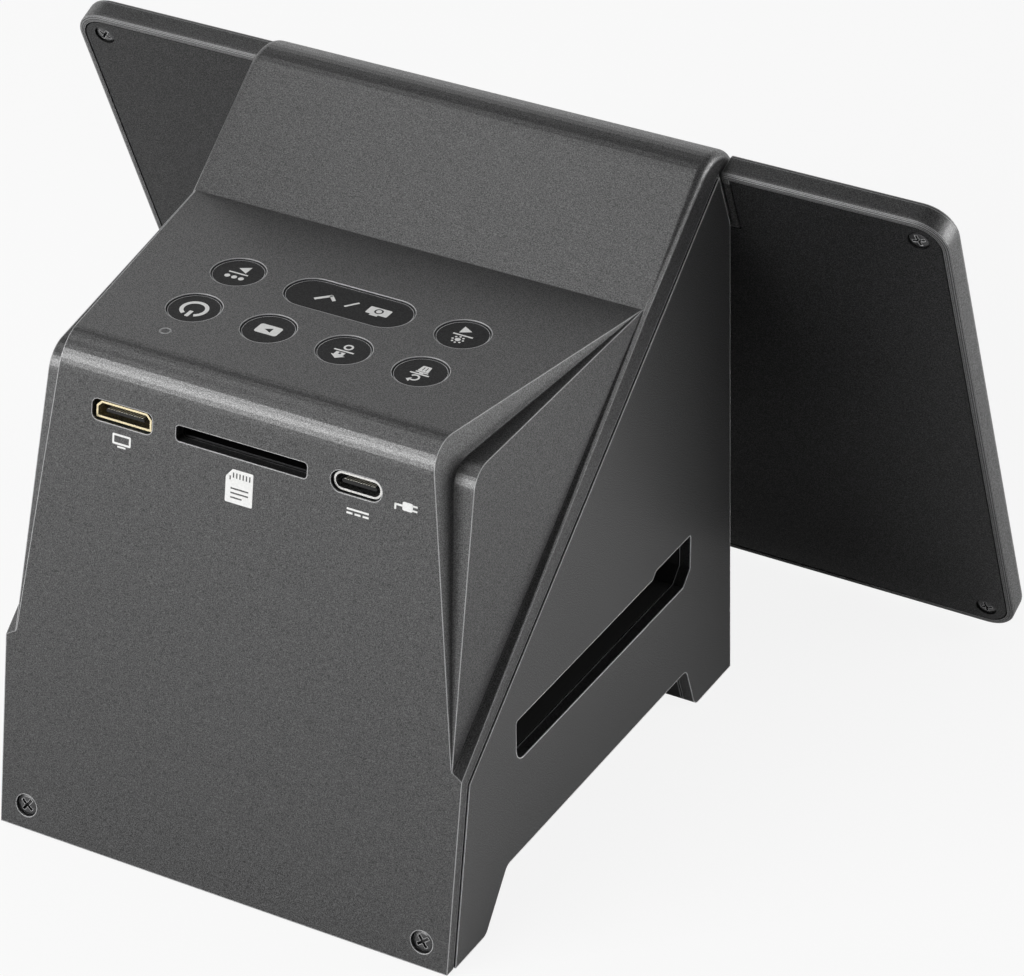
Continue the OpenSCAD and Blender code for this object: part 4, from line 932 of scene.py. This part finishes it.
def cross_head(head_r, head_t, shank_r, shank_l, turn):
    """A screw whose head's rim is at z = 0, as a bmesh in millimetres. The profile runs from the
    point up the shank, out under the head and over its dome."""
    tip = -head_t - shank_l
    profile = [(0, tip), (shank_r * 0.6, tip + 0.2), (shank_r, tip + 0.7), (shank_r, -head_t),
               (head_r, -head_t), (head_r, -0.2), (head_r * 0.93, -0.05), (head_r * 0.7, 0.1),
               (head_r * 0.4, 0.18), (0, 0.2)]
    body = as_object(spun(profile), "screw_body")
    cutters = []
    for quarter in (0, 90):
        flat_bar = bar(head_r * CROSS_LONG, head_r * CROSS_WIDE, turn=turn + quarter)
        cutter = thick(flat_bar, -head_t * CROSS_DEEP, 1.0)
        cutters.append(as_object(cutter, "cross_bar"))
        cut = body.modifiers.new("cross", "BOOLEAN")
        cut.operation = "DIFFERENCE"
        cut.object = cutters[-1]
    done = body.evaluated_get(bpy.context.evaluated_depsgraph_get())
    bm = bmesh.new()
    bm.from_mesh(done.to_mesh())
    for obj in [body] + cutters:
        mesh = obj.data
        bpy.data.objects.remove(obj)
        bpy.data.meshes.remove(mesh)
    return bm


def screw_set(name, sizes, places, out, up, body):
    """One piece of several screws. Each place is a head's middle and the turn of its cross,
    because no two screws stop at the same angle."""
    screws = []
    for middle_at, turn in places:
        screw = cross_head(**sizes, turn=turn)
        bmesh.ops.transform(screw, verts=screw.verts, matrix=in_frame(middle_at, out, up))
        screws.append(screw)
    print(name, "has", sum(len(screw.faces) for screw in screws), "faces")
    return make_piece(name, screws, Matrix.Identity(4), "dark_screw", body)


# %% Rear screws
REAR_SCREW = dict(head_r=2.0, head_t=1.2, shank_r=0.8, shank_l=7.0)
low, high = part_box("rear_screws")
rear_r = REAR_SCREW["head_r"] * MM
head_x = high[0] - rear_r
head_y = high[1] - rear_r * math.sin(REAR_LEAN)
head_z = high[2] - rear_r * math.cos(REAR_LEAN)
rear_places = [(Vector((side * head_x, head_y, head_z)), turn)
               for side, turn in ((-1, 38), (1, 52))]
rear_heads = screw_set("rear_screw_set", REAR_SCREW, rear_places, REAR_OUT, REAR_UP, "root")
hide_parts("rear_screws")
print("rear screws at z", round(head_z / MM, 2))

# %% Screen screws
SCREEN_SCREW = dict(head_r=1.9, head_t=0.8, shank_r=0.75, shank_l=2.0)
low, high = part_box("screen_screws")
small_r, small_t = SCREEN_SCREW["head_r"] * MM, SCREEN_SCREW["head_t"] * MM
small_x = high[0] - small_r
top_y = high[1] - small_r * math.sin(SCREEN_LEAN)
# an upper head is highest at its inner rim, because its outer face looks a little downwards
top_z = high[2] - small_r * math.cos(SCREEN_LEAN) - small_t * math.sin(SCREEN_LEAN)
foot_z = low[2] + small_r * math.cos(SCREEN_LEAN)
foot_y = top_y - (top_z - foot_z) * math.tan(SCREEN_LEAN)
screen_places = [(Vector((side * small_x, y, z)), turn)
                 for side, y, z, turn in ((-1, top_y, top_z, 20), (1, top_y, top_z, 55),
                                          (-1, foot_y, foot_z, 10), (1, foot_y, foot_z, 70))]
screen_heads = screw_set("screen_screw_set", SCREEN_SCREW, screen_places, SCREEN_OUT, SCREEN_UP,
                         "screen")
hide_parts("screen_screws")
print("screen screws at z", round(foot_z / MM, 2), "and", round(top_z / MM, 2))
